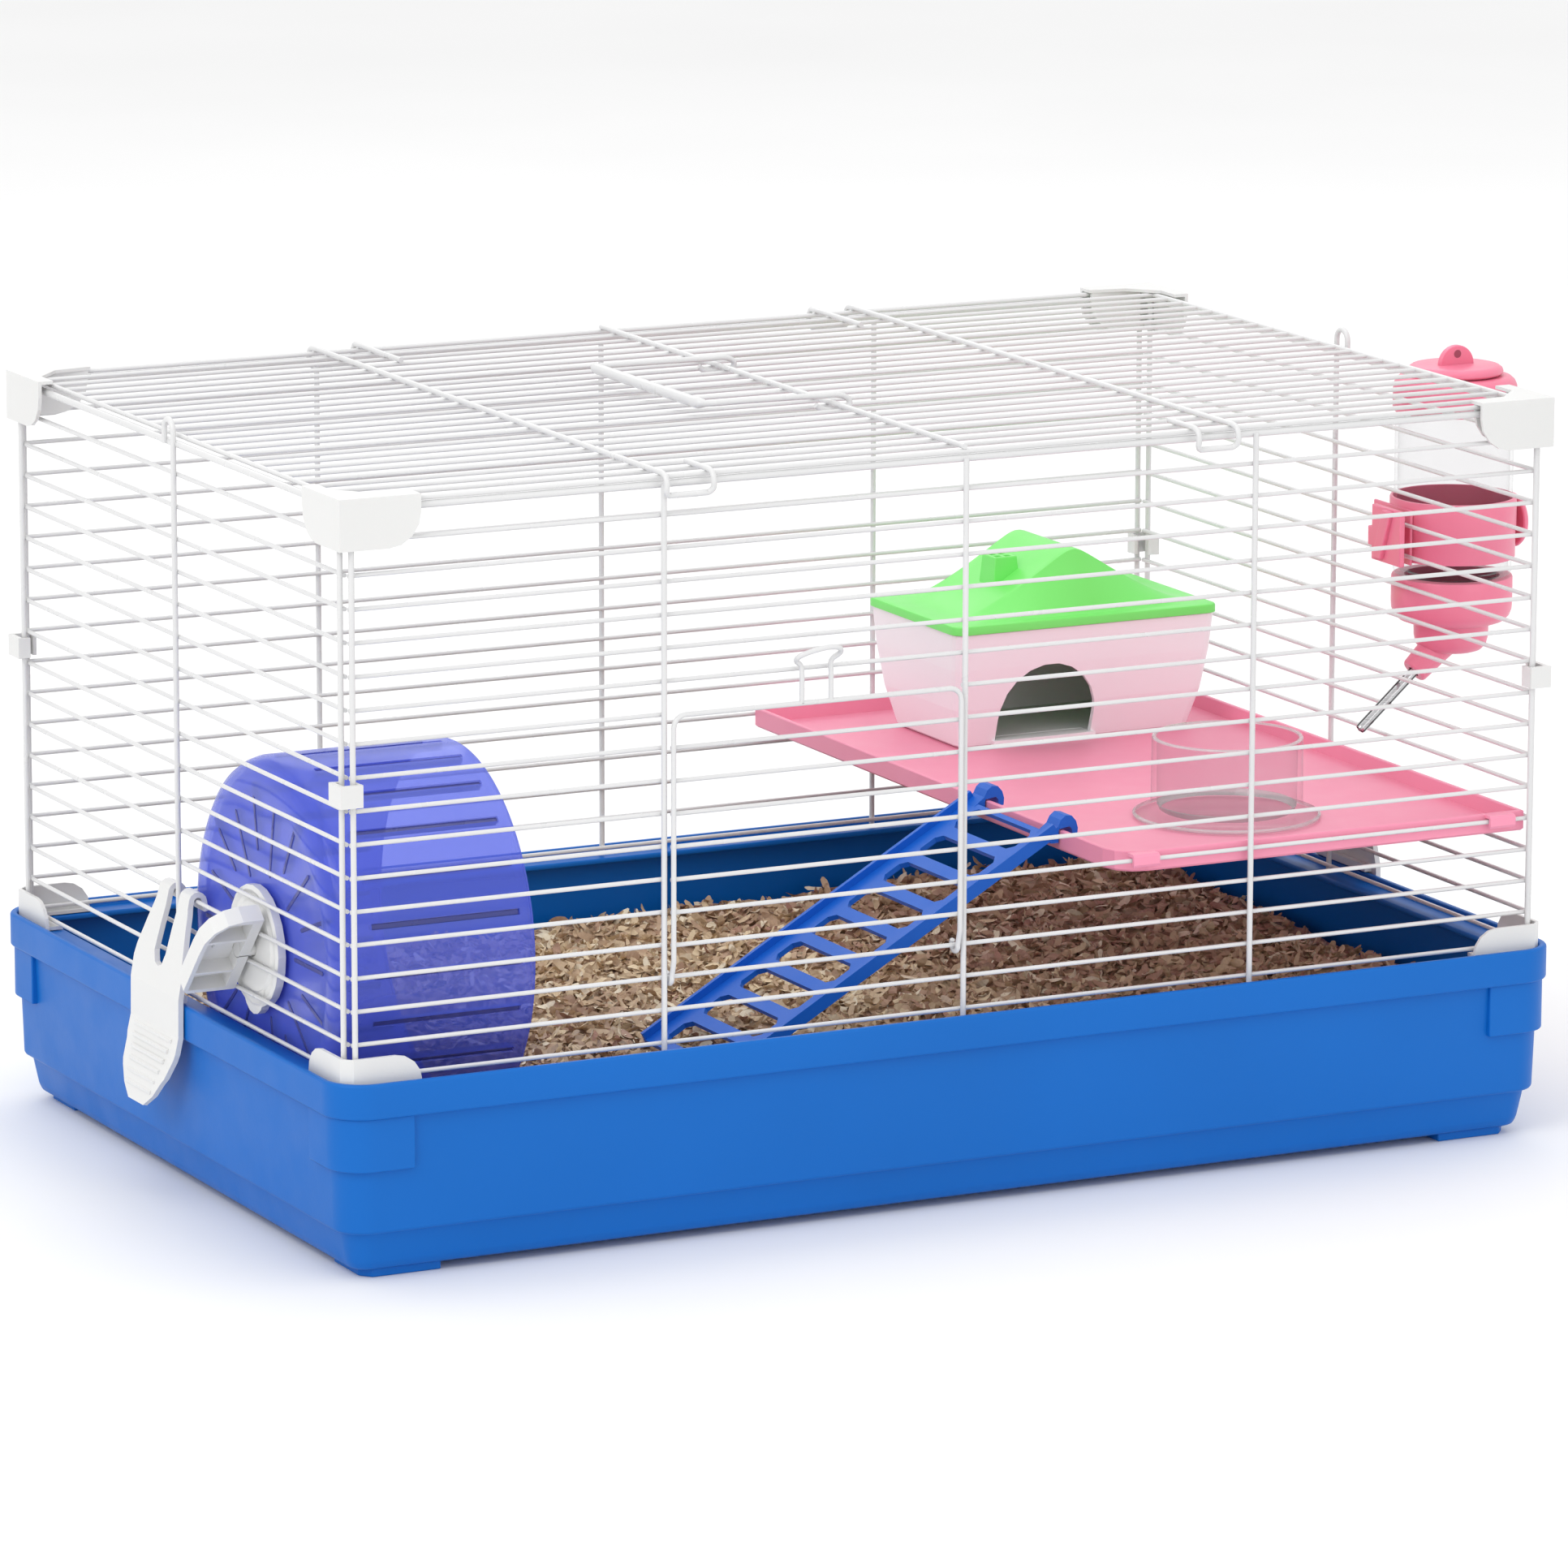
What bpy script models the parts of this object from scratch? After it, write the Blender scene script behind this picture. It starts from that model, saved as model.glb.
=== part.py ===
"""Two-level hamster cage: plastic tray, wire panels, corner fittings, wheel, shelf, ladder, house,
bowl and bottle. Sizes are millimetres here and metres in the scene. X runs along the front,
Y to the back, Z up; the origin is the bottom centre of the bounding box."""
import math
import bpy
import bmesh
from mathutils import Vector, Matrix

MM = 0.001
CENTRE_X = 15.95           # middle of the bounding box, seen from the middle of the tray

# wire cage
HALF_L, HALF_W = 235.0, 147.3          # middle of the front wires, middle of the front plane
PITCH, Z_ROW17 = 11.725, 70.0          # wire spacing and lowest wire
R_THIN, R_POST, R_RAIL = 0.8, 1.05, 1.3
WELD = 0.3                             # how far crossing wires sink into each other
CLEAR = 0.3                            # inner posts stand this far off the rows; rails and ends hold them
SQUARE = 1.34                          # corner radius of a four-sided wire, as a multiple of its radius
Z_RAIL, Z_ROOF = 268.5, 270.9
POSTS = (-117.0, 1.0, 117.8)
ROOF_GAPS = 25
CROSS_X = (-118.0, 0.8, 108.0)
END_X = 236.0
POST_Y = -(HALF_W + R_THIN + R_POST - WELD)
POST_X = END_X + R_THIN + R_POST - WELD
END_POST_Y = 145.0
DOOR_X = (-114.4, -1.6)
DOOR_Y, R_DOOR = -151.15, 0.95

# tray
TRAY_HX, TRAY_HY, TRAY_R = 241.2, 153.5, 12.0
TRAY_TOP = 69.5
PAD_Z = -2.3                # undersides of the pads, below the tray floor that heights count from

# wheel
WHEEL_Y, WHEEL_Z, WHEEL_R = -60.0, 98.6, 67.0
WHEEL_X0, WHEEL_X1 = -230.5, -156.0

# shelf, ladder, house, bowl, bottle
SHELF_X0, SHELF_X1, SHELF_Y, SHELF_Z, SHELF_TOP = 65.3, 234.4, 145.8, 112.0, 119.5
LADDER_Y, LADDER_W, LADDER_SLOPE, LADDER_LEN = -69.0, 66.0, math.radians(30.0), 160.0
LADDER_TOP = (66.6, 124.2)
HOUSE_X, HOUSE_Y, HOUSE_Z = 161.0, 90.0, 114.3
BOWL_X, BOWL_Y = 144.0, -85.0
BOTTLE_X, BOTTLE_Y = 261.0, -48.0
SPOUT_SLOPE, SPOUT_LEN = math.radians(41.3), 52.7


def row_z(row):
    return Z_ROW17 + (17 - row) * PITCH


for old in list(bpy.data.objects):
    bpy.data.objects.remove(old, do_unlink=True)

PARTS = bpy.data.collections.new("hamster_cage")
CUTTERS = bpy.data.collections.new("cutters")
for coll in (PARTS, CUTTERS):
    bpy.context.scene.collection.children.link(coll)

COLOURS = {
    "white_wire": ((0.86, 0.86, 0.85), 0.35, 0.0),
    "white_plastic": ((0.85, 0.85, 0.84), 0.4, 0.0),
    "blue_plastic": ((0.012, 0.16, 0.56), 0.3, 0.0),
    "ladder_blue": ((0.03, 0.16, 0.74), 0.35, 0.0),
    "pink_plastic": ((0.84, 0.3, 0.46), 0.4, 0.0),
    "wheel_violet": ((0.16, 0.18, 0.75), 0.2, 0.0),
    "house_white": ((0.86, 0.74, 0.79), 0.4, 0.0),
    "lid_green": ((0.25, 0.86, 0.2), 0.4, 0.0),
    "clear_plastic": ((0.9, 0.92, 0.93), 0.1, 0.0),
    "steel": ((0.6, 0.6, 0.6), 0.25, 1.0),
    "bedding": ((0.5, 0.36, 0.22), 0.9, 0.0),
}
MATERIALS = {}
for key, (rgb, rough, metal) in COLOURS.items():
    mat = bpy.data.materials.new(key)
    mat.use_nodes = True
    bsdf = mat.node_tree.nodes["Principled BSDF"]
    bsdf.inputs["Base Color"].default_value = (*rgb, 1.0)
    bsdf.inputs["Roughness"].default_value = rough
    bsdf.inputs["Metallic"].default_value = metal
    MATERIALS[key] = mat


# ---------------------------------------------------------------- mesh helpers (all in mm)
def mesh_object(name, bm, material=None, cutter=False):
    """Turn a bmesh in mm into an object in metres, in the parts or the cutters."""
    bmesh.ops.remove_doubles(bm, verts=bm.verts, dist=1e-4)
    bmesh.ops.recalc_face_normals(bm, faces=bm.faces)
    bmesh.ops.transform(bm, matrix=Matrix.Translation((-CENTRE_X, 0, -PAD_Z)), verts=bm.verts)
    bmesh.ops.scale(bm, vec=(MM, MM, MM), verts=bm.verts)
    mesh = bpy.data.meshes.new(name)
    bm.to_mesh(mesh)
    bm.free()
    obj = bpy.data.objects.new(name, mesh)
    if cutter:
        CUTTERS.objects.link(obj)
        obj.hide_render = True
        obj.display_type = "WIRE"
    else:
        PARTS.objects.link(obj)
        mesh.materials.append(MATERIALS[material])
    return obj


def combine(target, others, operation="UNION"):
    """Apply exact Booleans to the target, one operand after another."""
    for other in others:
        mod = target.modifiers.new(operation.lower() + "_" + other.name, "BOOLEAN")
        mod.operation = operation
        mod.solver = "EXACT"
        mod.object = other
    return target


def add_ring_loft(bm, rings, close=False):
    """Join rings of equal length into one skin, capped at both ends unless it closes on itself."""
    loops = [[bm.verts.new(p) for p in ring] for ring in rings]
    count = len(loops[0])
    pairs = list(zip(loops, loops[1:]))
    if close:
        pairs.append((loops[-1], loops[0]))
    for a, b in pairs:
        for i in range(count):
            j = (i + 1) % count
            bm.faces.new((a[i], a[j], b[j], b[i]))
    if not close:
        bm.faces.new(loops[0])
        bm.faces.new(reversed(loops[-1]))


def add_box(bm, x0, x1, y0, y1, z0, z1):
    add_ring_loft(bm, [[(x0, y0, z), (x1, y0, z), (x1, y1, z), (x0, y1, z)] for z in (z0, z1)])


def add_prism(bm, outline, axis, low, high):
    """Extrude an outline along X, Y or Z. It is (y, z), (x, z) or (x, y) pairs."""
    place = {"X": lambda u, v, w: (w, u, v), "Y": lambda u, v, w: (u, w, v), "Z": lambda u, v, w: (u, v, w)}
    add_ring_loft(bm, [[place[axis](u, v, w) for u, v in outline] for w in (low, high)])


def add_tube(bm, points, radius, sides, closed=False):
    """A round wire along a path. Corners are mitred and the ends capped."""
    pts = [Vector(p) for p in points]
    count = len(pts)
    turn = math.pi / sides
    rings, side = [], None
    for i, p in enumerate(pts):
        before = pts[i - 1] if (i or closed) else None
        after = pts[(i + 1) % count] if (i < count - 1 or closed) else None
        t_in = (p - before).normalized() if before is not None else None
        t_out = (after - p).normalized() if after is not None else None
        tangent = (t_in or t_out).copy()
        if t_in and t_out:
            tangent = (t_in + t_out).normalized()
        if side is None:
            guess = Vector((0, 0, 1)) if abs(tangent.z) < 0.8 else Vector((0, 1, 0))
            side = tangent.cross(guess).normalized()
        side = (side - tangent * side.dot(tangent)).normalized()
        up = tangent.cross(side)
        stretch = 1.0 / max(0.5, tangent.dot(t_out or t_in))
        bend = (t_out - t_in) if (t_in and t_out) else Vector((0, 0, 0))
        bend = bend.normalized() if bend.length > 1e-6 else None
        ring = []
        for k in range(sides):
            a = 2 * math.pi * k / sides + turn
            off = side * math.cos(a) * radius + up * math.sin(a) * radius
            if bend is not None:
                off += bend * off.dot(bend) * (stretch - 1.0)
            ring.append(p + off)
        rings.append(ring)
    add_ring_loft(bm, rings, close=closed)


def add_lathe(bm, profile, centre, axis=(0, 0, 1), steps=32):
    """Spin a profile of (radius, height) pairs. A radius of 0 at an end closes it."""
    axis = Vector(axis).normalized()
    turn = Vector((0, 0, 1)).rotation_difference(axis).to_matrix()
    centre = Vector(centre)
    closed = profile[0][0] > 0 and profile[-1][0] > 0
    body = [(r, h) for r, h in profile if r > 0]
    rings = []
    for r, h in body:
        rings.append([centre + turn @ Vector((r * math.cos(2 * math.pi * k / steps),
                                              r * math.sin(2 * math.pi * k / steps), h))
                      for k in range(steps)])
    add_ring_loft(bm, rings, close=closed)


def rounded_rect(hx, hy, r, z, per_corner=5, cx=0.0, cy=0.0):
    ring = []
    for sx, sy, start in ((1, 1, 0), (-1, 1, 90), (-1, -1, 180), (1, -1, 270)):
        for k in range(per_corner):
            a = math.radians(start + 90 * k / (per_corner - 1))
            ring.append((cx + sx * (hx - r) + r * math.cos(a), cy + sy * (hy - r) + r * math.sin(a), z))
    return ring


def arc(cx, cy, r, a0, a1, steps):
    return [(cx + r * math.cos(math.radians(a0 + (a1 - a0) * k / steps)),
             cy + r * math.sin(math.radians(a0 + (a1 - a0) * k / steps))) for k in range(steps + 1)]


def simple(name, material, build, **options):
    bm = bmesh.new()
    build(bm)
    return mesh_object(name, bm, material, **options)


def wire_set(name, runs, material=None, sides=6):
    """One object of separate wires: each run is (points, radius) or (points, radius, True) if closed."""
    bm = bmesh.new()
    swell = SQUARE if sides == 4 else 1.0
    for run in runs:
        add_tube(bm, run[0], run[1] * swell, sides, closed=len(run) > 2)
    return mesh_object(name, bm, material, cutter=material is None)


# ---------------------------------------------------------------- tray and bedding
def tray_profile():
    return [(-8.6, 0.6), (-6.6, 1.4), (-5.4, 4.0), (-3.2, 15.0), (-0.9, 15.3), (-0.4, 16.2), (0.9, 57.0),
            (3.4, 57.0), (3.8, 57.6), (3.8, 68.8), (3.2, TRAY_TOP), (1.8, TRAY_TOP), (1.3, 69.0),
            (1.3, 66.5), (-9.0, 66.5), (-9.0, 64.3), (-1.8, 64.3), (-2.6, 17.0), (-5.4, 14.4),
            (-7.4, 6.0), (-9.4, 4.5)]


def build_tray(bm):
    rings = [rounded_rect(TRAY_HX + d, TRAY_HY + d, TRAY_R + 0.8 * d, z) for d, z in tray_profile()]
    add_ring_loft(bm, rings)


tray = simple("tray", "blue_plastic", build_tray)


def build_corner_plates(bm):
    """A raised plate wraps each corner below the rim."""
    for sx in (-1, 1):
        for sy in (-1, 1):
            outer = [(TRAY_HX - 25.6, TRAY_HY + 2.4)]
            outer += list(reversed(arc(TRAY_HX - 11.1, TRAY_HY - 11.1, 13.5, 0, 90, 4)))
            outer += [(TRAY_HX + 2.4, TRAY_HY - 25.6)]
            inner = [(TRAY_HX - 1.0, TRAY_HY - 25.6)]
            inner += arc(TRAY_HX - 12.0, TRAY_HY - 12.0, 11.0, 0, 90, 4) + [(TRAY_HX - 25.6, TRAY_HY - 1.0)]
            corner = [(sx * x, sy * y) for x, y in outer + inner]
            add_prism(bm, corner, "Z", 38.0, 57.4)
            pad = [(sx * (TRAY_HX - a), sy * (TRAY_HY - b))
                   for a, b in ((14, 8.8), (40, 8.8), (40, 22), (22, 22), (22, 34), (10.4, 34), (10.4, 13))]
            add_prism(bm, pad, "Z", PAD_Z, 1.2)


combine(tray, [simple("cut_tray_corners", None, build_corner_plates, cutter=True)])


def litter_height(x, y):
    """Loose litter: a gentle heap to the right, hollowed under the wheel and the ladder's foot."""
    wave = 1.2 * math.sin(x * 0.045 + 1.0) * math.cos(y * 0.05) + 0.8 * math.sin(x * 0.11 + y * 0.07)
    base = 41.0 + 4.0 / (1 + math.exp(-(x - 40.0) / 35.0)) + 2.0 * y / 143.0 + wave
    near_wheel = 1 / (1 + math.exp((x + 138.0) / 5.0)) / (1 + math.exp((abs(y - WHEEL_Y) - 74.0) / 5.0))
    near_foot = math.exp(-((x + 76.0) / 26.0) ** 2 - ((y - LADDER_Y) / 46.0) ** 4)
    base = base * (1 - near_foot) + 36.5 * near_foot
    return base * (1 - near_wheel) + 27.5 * near_wheel


def build_bedding(bm):
    nx, ny, hx, hy = 20, 13, 231.0, 143.5
    xs = [-hx + 2 * hx * i / nx for i in range(nx + 1)]
    ys = [-hy + 2 * hy * j / ny for j in range(ny + 1)]
    top = [[bm.verts.new((x, y, litter_height(x, y))) for y in ys] for x in xs]
    for i in range(nx):
        for j in range(ny):
            bm.faces.new((top[i][j], top[i + 1][j], top[i + 1][j + 1], top[i][j + 1]))
    rim = [top[i][0] for i in range(nx + 1)] + [top[nx][j] for j in range(1, ny + 1)]
    rim += [top[i][ny] for i in range(nx - 1, -1, -1)] + [top[0][j] for j in range(ny - 1, 0, -1)]
    low = [bm.verts.new((v.co.x * 0.992, v.co.y * 0.99, 5.0)) for v in rim]
    for k, v in enumerate(rim):
        m = (k + 1) % len(rim)
        bm.faces.new((v, low[k], low[m], rim[m]))
    bm.faces.new(low)


simple("wood_shavings", "bedding", build_bedding)


# ---------------------------------------------------------------- wire panels
def rows_for(y, skip=None):
    """Horizontal wires of a long panel. skip is the stretch between two posts that a door fills."""
    runs = [([(-HALF_L - 0.6, y, Z_RAIL), (HALF_L + 0.6, y, Z_RAIL)], R_RAIL)]
    for row in range(1, 18):
        z = row_z(row)
        if skip and row in skip:
            for x0, x1 in ((-HALF_L - 0.6, POSTS[0] + 0.5), (POSTS[1] - 0.5, HALF_L + 0.6)):
                runs.append(([(x0, y, z), (x1, y, z)], R_THIN))
        else:
            runs.append(([(-HALF_L - 0.6, y, z), (HALF_L + 0.6, y, z)], R_THIN))
    return runs


def long_posts(y):
    runs = []
    for x in (-HALF_L, HALF_L):
        runs.append(([(x, y, 68.8), (x, y, Z_RAIL + 0.2)], R_POST))
    off = math.copysign(CLEAR + 0.1, y)
    for x in POSTS:
        runs.append(([(x, y + off, 67.4), (x, y + off, Z_RAIL + 0.2)], R_POST))
    return runs


front_panel = wire_set("front_panel", rows_for(-HALF_W, range(7, 15)), "white_wire", sides=4)
combine(front_panel, [wire_set("cut_front_posts", long_posts(POST_Y), sides=4)])
back_panel = wire_set("back_panel", rows_for(HALF_W), "white_wire", sides=4)
combine(back_panel, [wire_set("cut_back_posts", long_posts(-POST_Y), sides=4)])

for side, label in ((-1, "left"), (1, "right")):
    x = side * END_X
    runs = [([(x, -END_POST_Y - 0.4, Z_RAIL), (x, END_POST_Y + 0.4, Z_RAIL)], R_RAIL)]
    runs += [([(x, -END_POST_Y - 0.5, row_z(r)), (x, END_POST_Y + 0.5, row_z(r))], R_THIN)
             for r in range(1, 18)]
    panel = wire_set(label + "_end_panel", runs, "white_wire", sides=4)
    px = side * (POST_X + CLEAR + 0.1)
    back = -side * 8.0           # the middle wire turns over in a narrow loop and comes back to the rail
    loop = [(px, 0.0, 67.4), (px, 0.0, 272.9)]
    loop += [(px, back / 2 - math.cos(math.radians(a)) * back / 2, 272.9 + 4.0 * math.sin(math.radians(a)))
             for a in (30, 60, 90, 120, 150)]
    loop += [(px, back, 272.9), (px, back, Z_RAIL - 0.6)]
    posts = [([(side * POST_X, s * END_POST_Y, 68.8), (side * POST_X, s * END_POST_Y, Z_RAIL + 0.2)], R_POST)
             for s in (-1, 1)]
    combine(panel, [wire_set("cut_%s_posts" % label, posts + [(loop, R_POST)], sides=4)])


# ---------------------------------------------------------------- roof panel
ROOF_X, ROOF_Y = 234.0, HALF_W
CROSS_Z = Z_ROOF + R_THIN + R_POST + 0.1
roof_rows = [([(-ROOF_X, -ROOF_Y + 2 * ROOF_Y * k / ROOF_GAPS, Z_ROOF),
               (ROOF_X, -ROOF_Y + 2 * ROOF_Y * k / ROOF_GAPS, Z_ROOF)], R_THIN) for k in range(ROOF_GAPS + 1)]
end_bars = [([(x, -ROOF_Y - 0.5, Z_ROOF + 0.1), (x, ROOF_Y + 0.5, Z_ROOF + 0.1)], R_THIN + 0.1)
            for x in (0.3 - ROOF_X, ROOF_X - 0.3)]
cross_runs = [([(CROSS_X[1], -ROOF_Y - 0.8, CROSS_Z), (CROSS_X[1], ROOF_Y + 0.8, CROSS_Z)], R_POST)]
edge_runs = [([(x, s * ROOF_Y, Z_ROOF + 0.3), (x, s * ROOF_Y, CROSS_Z - 0.4)], R_THIN - 0.1)
             for x in (CROSS_X[0], CROSS_X[0] + 18.0, CROSS_X[1], CROSS_X[2], CROSS_X[2] - 16.0)
             for s in (-1, 1)]
for x, step in ((CROSS_X[0], 18.0), (CROSS_X[2], -16.0)):
    path = [(x + step, ROOF_Y - 38.0, CROSS_Z)]
    for s in (1, -1):
        near, far = (x + step, x) if s == 1 else (x, x + step)
        path += [(near, s * (ROOF_Y + 2.6), CROSS_Z), (near, s * (ROOF_Y + 6.2), CROSS_Z - 2.2),
                 (near, s * (ROOF_Y + 6.2), CROSS_Z - 5.2), (near, s * (ROOF_Y + 4.7), CROSS_Z - 7.6),
                 (far, s * (ROOF_Y + 4.7), CROSS_Z - 7.6), (far, s * (ROOF_Y + 6.2), CROSS_Z - 5.2),
                 (far, s * (ROOF_Y + 6.2), CROSS_Z - 2.2), (far, s * (ROOF_Y + 2.6), CROSS_Z)]
    path.append((x + step, -ROOF_Y + 16.0, CROSS_Z))
    cross_runs.append((path, R_POST))
roof = wire_set("roof_panel", roof_rows, "white_wire", sides=4)
combine(roof, [wire_set("cut_roof_ends", end_bars, sides=4),
               wire_set("cut_roof_welds", edge_runs, sides=4),
               wire_set("cut_roof_cross", cross_runs, sides=4)])


# ---------------------------------------------------------------- front door
HINGE_Y, HINGE_Z = -HALF_W, row_z(15)
DOOR_TOP = row_z(7)


def door_path():
    curl = [(-151.15, 99.5), (-150.3, 96.5)]
    curl += arc(HINGE_Y, HINGE_Z, 2.3, 165, 400, 8)
    left = [(DOOR_X[0], y, z) for y, z in reversed(curl)]
    right = [(DOOR_X[1], y, z) for y, z in curl]
    top_l = [(DOOR_X[0], DOOR_Y, DOOR_TOP - 4), (DOOR_X[0] + 1.2, DOOR_Y, DOOR_TOP - 1.2),
             (DOOR_X[0] + 4, DOOR_Y, DOOR_TOP)]
    top_r = [(DOOR_X[1] - 4, DOOR_Y, DOOR_TOP), (DOOR_X[1] - 1.2, DOOR_Y, DOOR_TOP - 1.2),
             (DOOR_X[1], DOOR_Y, DOOR_TOP - 4)]
    return left + top_l + top_r + right


latch = [(-64.6, DOOR_Y, DOOR_TOP - 0.3), (-64.6, DOOR_Y, 197.5), (-64.9, DOOR_Y + 0.4, 200.8),
         (-67.4, DOOR_Y - 0.3, 202.6), (-66.0, DOOR_Y - 2.2, 204.6), (-61.5, DOOR_Y - 3.8, 206.4),
         (-56.0, DOOR_Y - 4.2, 207.2), (-51.6, DOOR_Y - 3.8, 206.6), (-50.4, DOOR_Y - 2.2, 204.6),
         (-52.6, DOOR_Y - 0.3, 202.4), (-53.2, DOOR_Y + 0.4, 200.8), (-53.2, DOOR_Y, 197.5),
         (-53.2, DOOR_Y, DOOR_TOP - 0.3)]
door_rows = [([(DOOR_X[0] - 0.3, DOOR_Y + R_DOOR + R_THIN - WELD, row_z(r)),
               (DOOR_X[1] + 0.3, DOOR_Y + R_DOOR + R_THIN - WELD, row_z(r))], R_THIN) for r in range(8, 15)]
front_door = wire_set("front_door", [(door_path(), R_DOOR)], "white_wire")
combine(front_door, [wire_set("cut_door_rows", door_rows, sides=4),
                     wire_set("cut_door_latch", [(latch, R_DOOR)])])


# ---------------------------------------------------------------- carry handle
EYE_Y = 2 * HALF_W / ROOF_GAPS * 4        # halfway between two roof wires
HANDLE_X = -52.0


def eye(y, s):
    """The wire's end curls over the cross wire and back under it."""
    flat = [(-14.0, 4.0), (-5.0, 3.4), (1.5, 3.2), (5.4, 1.8), (6.2, 0.0), (5.0, -1.9), (0.0, -2.4),
            (-5.5, -1.6), (-8.0, 0.0)]
    return [(CROSS_X[1] + u, y + s * 0.22 * k, CROSS_Z + v) for k, (u, v) in enumerate(flat)]


def handle_path():
    z = CROSS_Z + 3.4
    far = list(reversed(eye(EYE_Y - 1.0, 1)))
    near = eye(-EYE_Y + 1.0, -1)
    corner_far = [(HANDLE_X + 6, EYE_Y - 1.0, z), (HANDLE_X + 1.6, EYE_Y - 2.6, z), (HANDLE_X, EYE_Y - 7, z)]
    corner_near = [(x, -y, height) for x, y, height in reversed(corner_far)]
    return far + corner_far + corner_near + near


handle = wire_set("carry_handle", [(handle_path(), 1.1)], "white_wire")
combine(handle, [wire_set("cut_handle_grip", [([(HANDLE_X, EYE_Y - 6.5, CROSS_Z + 3.4),
                                                (HANDLE_X, -EYE_Y + 6.5, CROSS_Z + 3.4)], 2.1)], sides=10)])


# ---------------------------------------------------------------- corner fittings
CORNERS = (("front_left", -1, -1), ("front_right", 1, -1), ("back_left", -1, 1), ("back_right", 1, 1))
CAP_X, CAP_Y, WALL = 240.5, 151.7, 1.35


def free_end(start, stop, z_square, z_round, r=12.0):
    """Outline of a wall whose free corner is rounded, from the corner post to the free end."""
    s = 1 if stop > start else -1
    turn = 1 if z_round > z_square else -1
    curve = [(stop - s * r + s * r * math.sin(math.radians(a)),
              z_round - turn * r + turn * r * math.cos(math.radians(a)))
             for a in (90, 68, 45, 22, 0)]
    return [(start, z_square), (stop, z_square)] + curve + [(start, z_round)]


def fitting(name, pieces, sx, sy):
    """Build a corner fitting from boxes and prisms given for the front left, mirrored as needed."""
    objects = []
    for n, piece in enumerate(pieces):
        bm = bmesh.new()
        piece(bm)
        bmesh.ops.scale(bm, vec=(-sx, -sy, 1), verts=bm.verts)
        if n == 0:
            objects.append(mesh_object(name, bm, "white_plastic"))
        else:
            objects.append(mesh_object("cut_%s_%d" % (name, n), bm, cutter=True))
    return combine(objects[0], objects[1:])


def cap_pieces():
    gusset = [(-CAP_X, -CAP_Y), (-210, -CAP_Y), (-210, -144.2), (-225, -142.0), (-234.6, -131.5),
              (-234.6, -120), (-CAP_X, -120)]
    return [
        lambda bm: add_prism(bm, free_end(-CAP_X, -210, 272.9, 255), "Y", -CAP_Y, -CAP_Y + WALL),
        lambda bm: add_prism(bm, free_end(-CAP_Y, -120, 272.9, 255), "X", -CAP_X, -CAP_X + WALL),
        lambda bm: add_prism(bm, gusset, "Z", 271.9, 273.1),
        lambda bm: add_prism(bm, free_end(-232.7, -211, 272.5, 256.5), "Y", -145.4, -144.2),
    ]


def foot_pieces():
    """Both walls stop short of the corner, which a slanting wall closes: the tray's rim is round there."""
    cut = 3.6
    x0, y0 = -CAP_X + 0.1, -CAP_Y + 0.1
    slant = [(x0, y0 + cut), (x0 + cut, y0), (x0 + cut + 1.0, y0), (x0 + cut + 1.0, y0 + WALL),
             (x0 + cut - 0.2, y0 + WALL), (x0 + WALL, y0 + cut - 0.2), (x0 + WALL, y0 + cut + 1.0),
             (x0, y0 + cut + 1.0)]
    base = [(x0 + 0.3, y0 + cut), (x0 + cut, y0 + 0.3), (-212, y0 + 0.3), (-212, -145.2), (-233.2, -145.2),
            (-233.2, -122), (x0 + 0.3, -122)]
    return [
        lambda bm: add_prism(bm, free_end(x0 + cut + 0.4, -211, 66.8, 77.6, 9.8), "Y", y0, y0 + WALL),
        lambda bm: add_prism(bm, free_end(y0 + cut + 0.4, -121, 66.8, 77.6, 9.8), "X", x0, x0 + WALL),
        lambda bm: add_prism(bm, slant, "Z", 66.85, 77.55),
        lambda bm: add_prism(bm, base, "Z", 66.9, 68.2),
    ]


def clip_pieces():
    z0, z1 = 166.0, 173.9
    return [
        lambda bm: add_box(bm, -CAP_X - 0.6, -232.6, -CAP_Y - 0.5, -CAP_Y + WALL - 0.2, z0, z1),
        lambda bm: add_box(bm, -CAP_X - 0.6, -CAP_X + WALL - 0.2, -CAP_Y, -142.0, z0 + 0.1, z1 - 0.1),
        lambda bm: add_box(bm, -233.7, -232.4, -CAP_Y, -146.0, z0 + 0.2, z1 - 0.2),
        lambda bm: add_box(bm, -CAP_X, -236.4, -143.2, -141.9, z0 + 0.2, z1 - 0.2),
    ]


for place, sx, sy in CORNERS:
    fitting("corner_cap_" + place, cap_pieces(), sx, sy)
    fitting("corner_foot_" + place, foot_pieces(), sx, sy)
    fitting("corner_clip_" + place, clip_pieces(), sx, sy)


# ---------------------------------------------------------------- tray clips
CLIP_PIVOT = (-END_X, row_z(14))


def clip_side():
    """Side view (x, z) of the bent lever: outer face down, inner face back up."""
    mid = [(-232.8, 101.8), (-233.4, 104.0)] + arc(CLIP_PIVOT[0], CLIP_PIVOT[1], 2.5, 0, 165, 6)
    mid += [(-239.6, 100.5), (-241.6, 94.0), (-244.4, 84.0), (-246.5, 72.0), (-246.7, 58.0), (-248.6, 49.5),
            (-252.0, 40.5), (-254.4, 31.0)]
    half, outer, inner = 1.0, [], []
    for i, p in enumerate(mid):
        a = Vector(mid[max(i - 1, 0)])
        b = Vector(mid[min(i + 1, len(mid) - 1)])
        t = (b - a).normalized()
        n = Vector((-t.y, t.x))
        outer.append((p[0] + n.x * half, p[1] + n.y * half))
        inner.append((p[0] - n.x * half, p[1] - n.y * half))
    return outer + list(reversed(inner))


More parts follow.
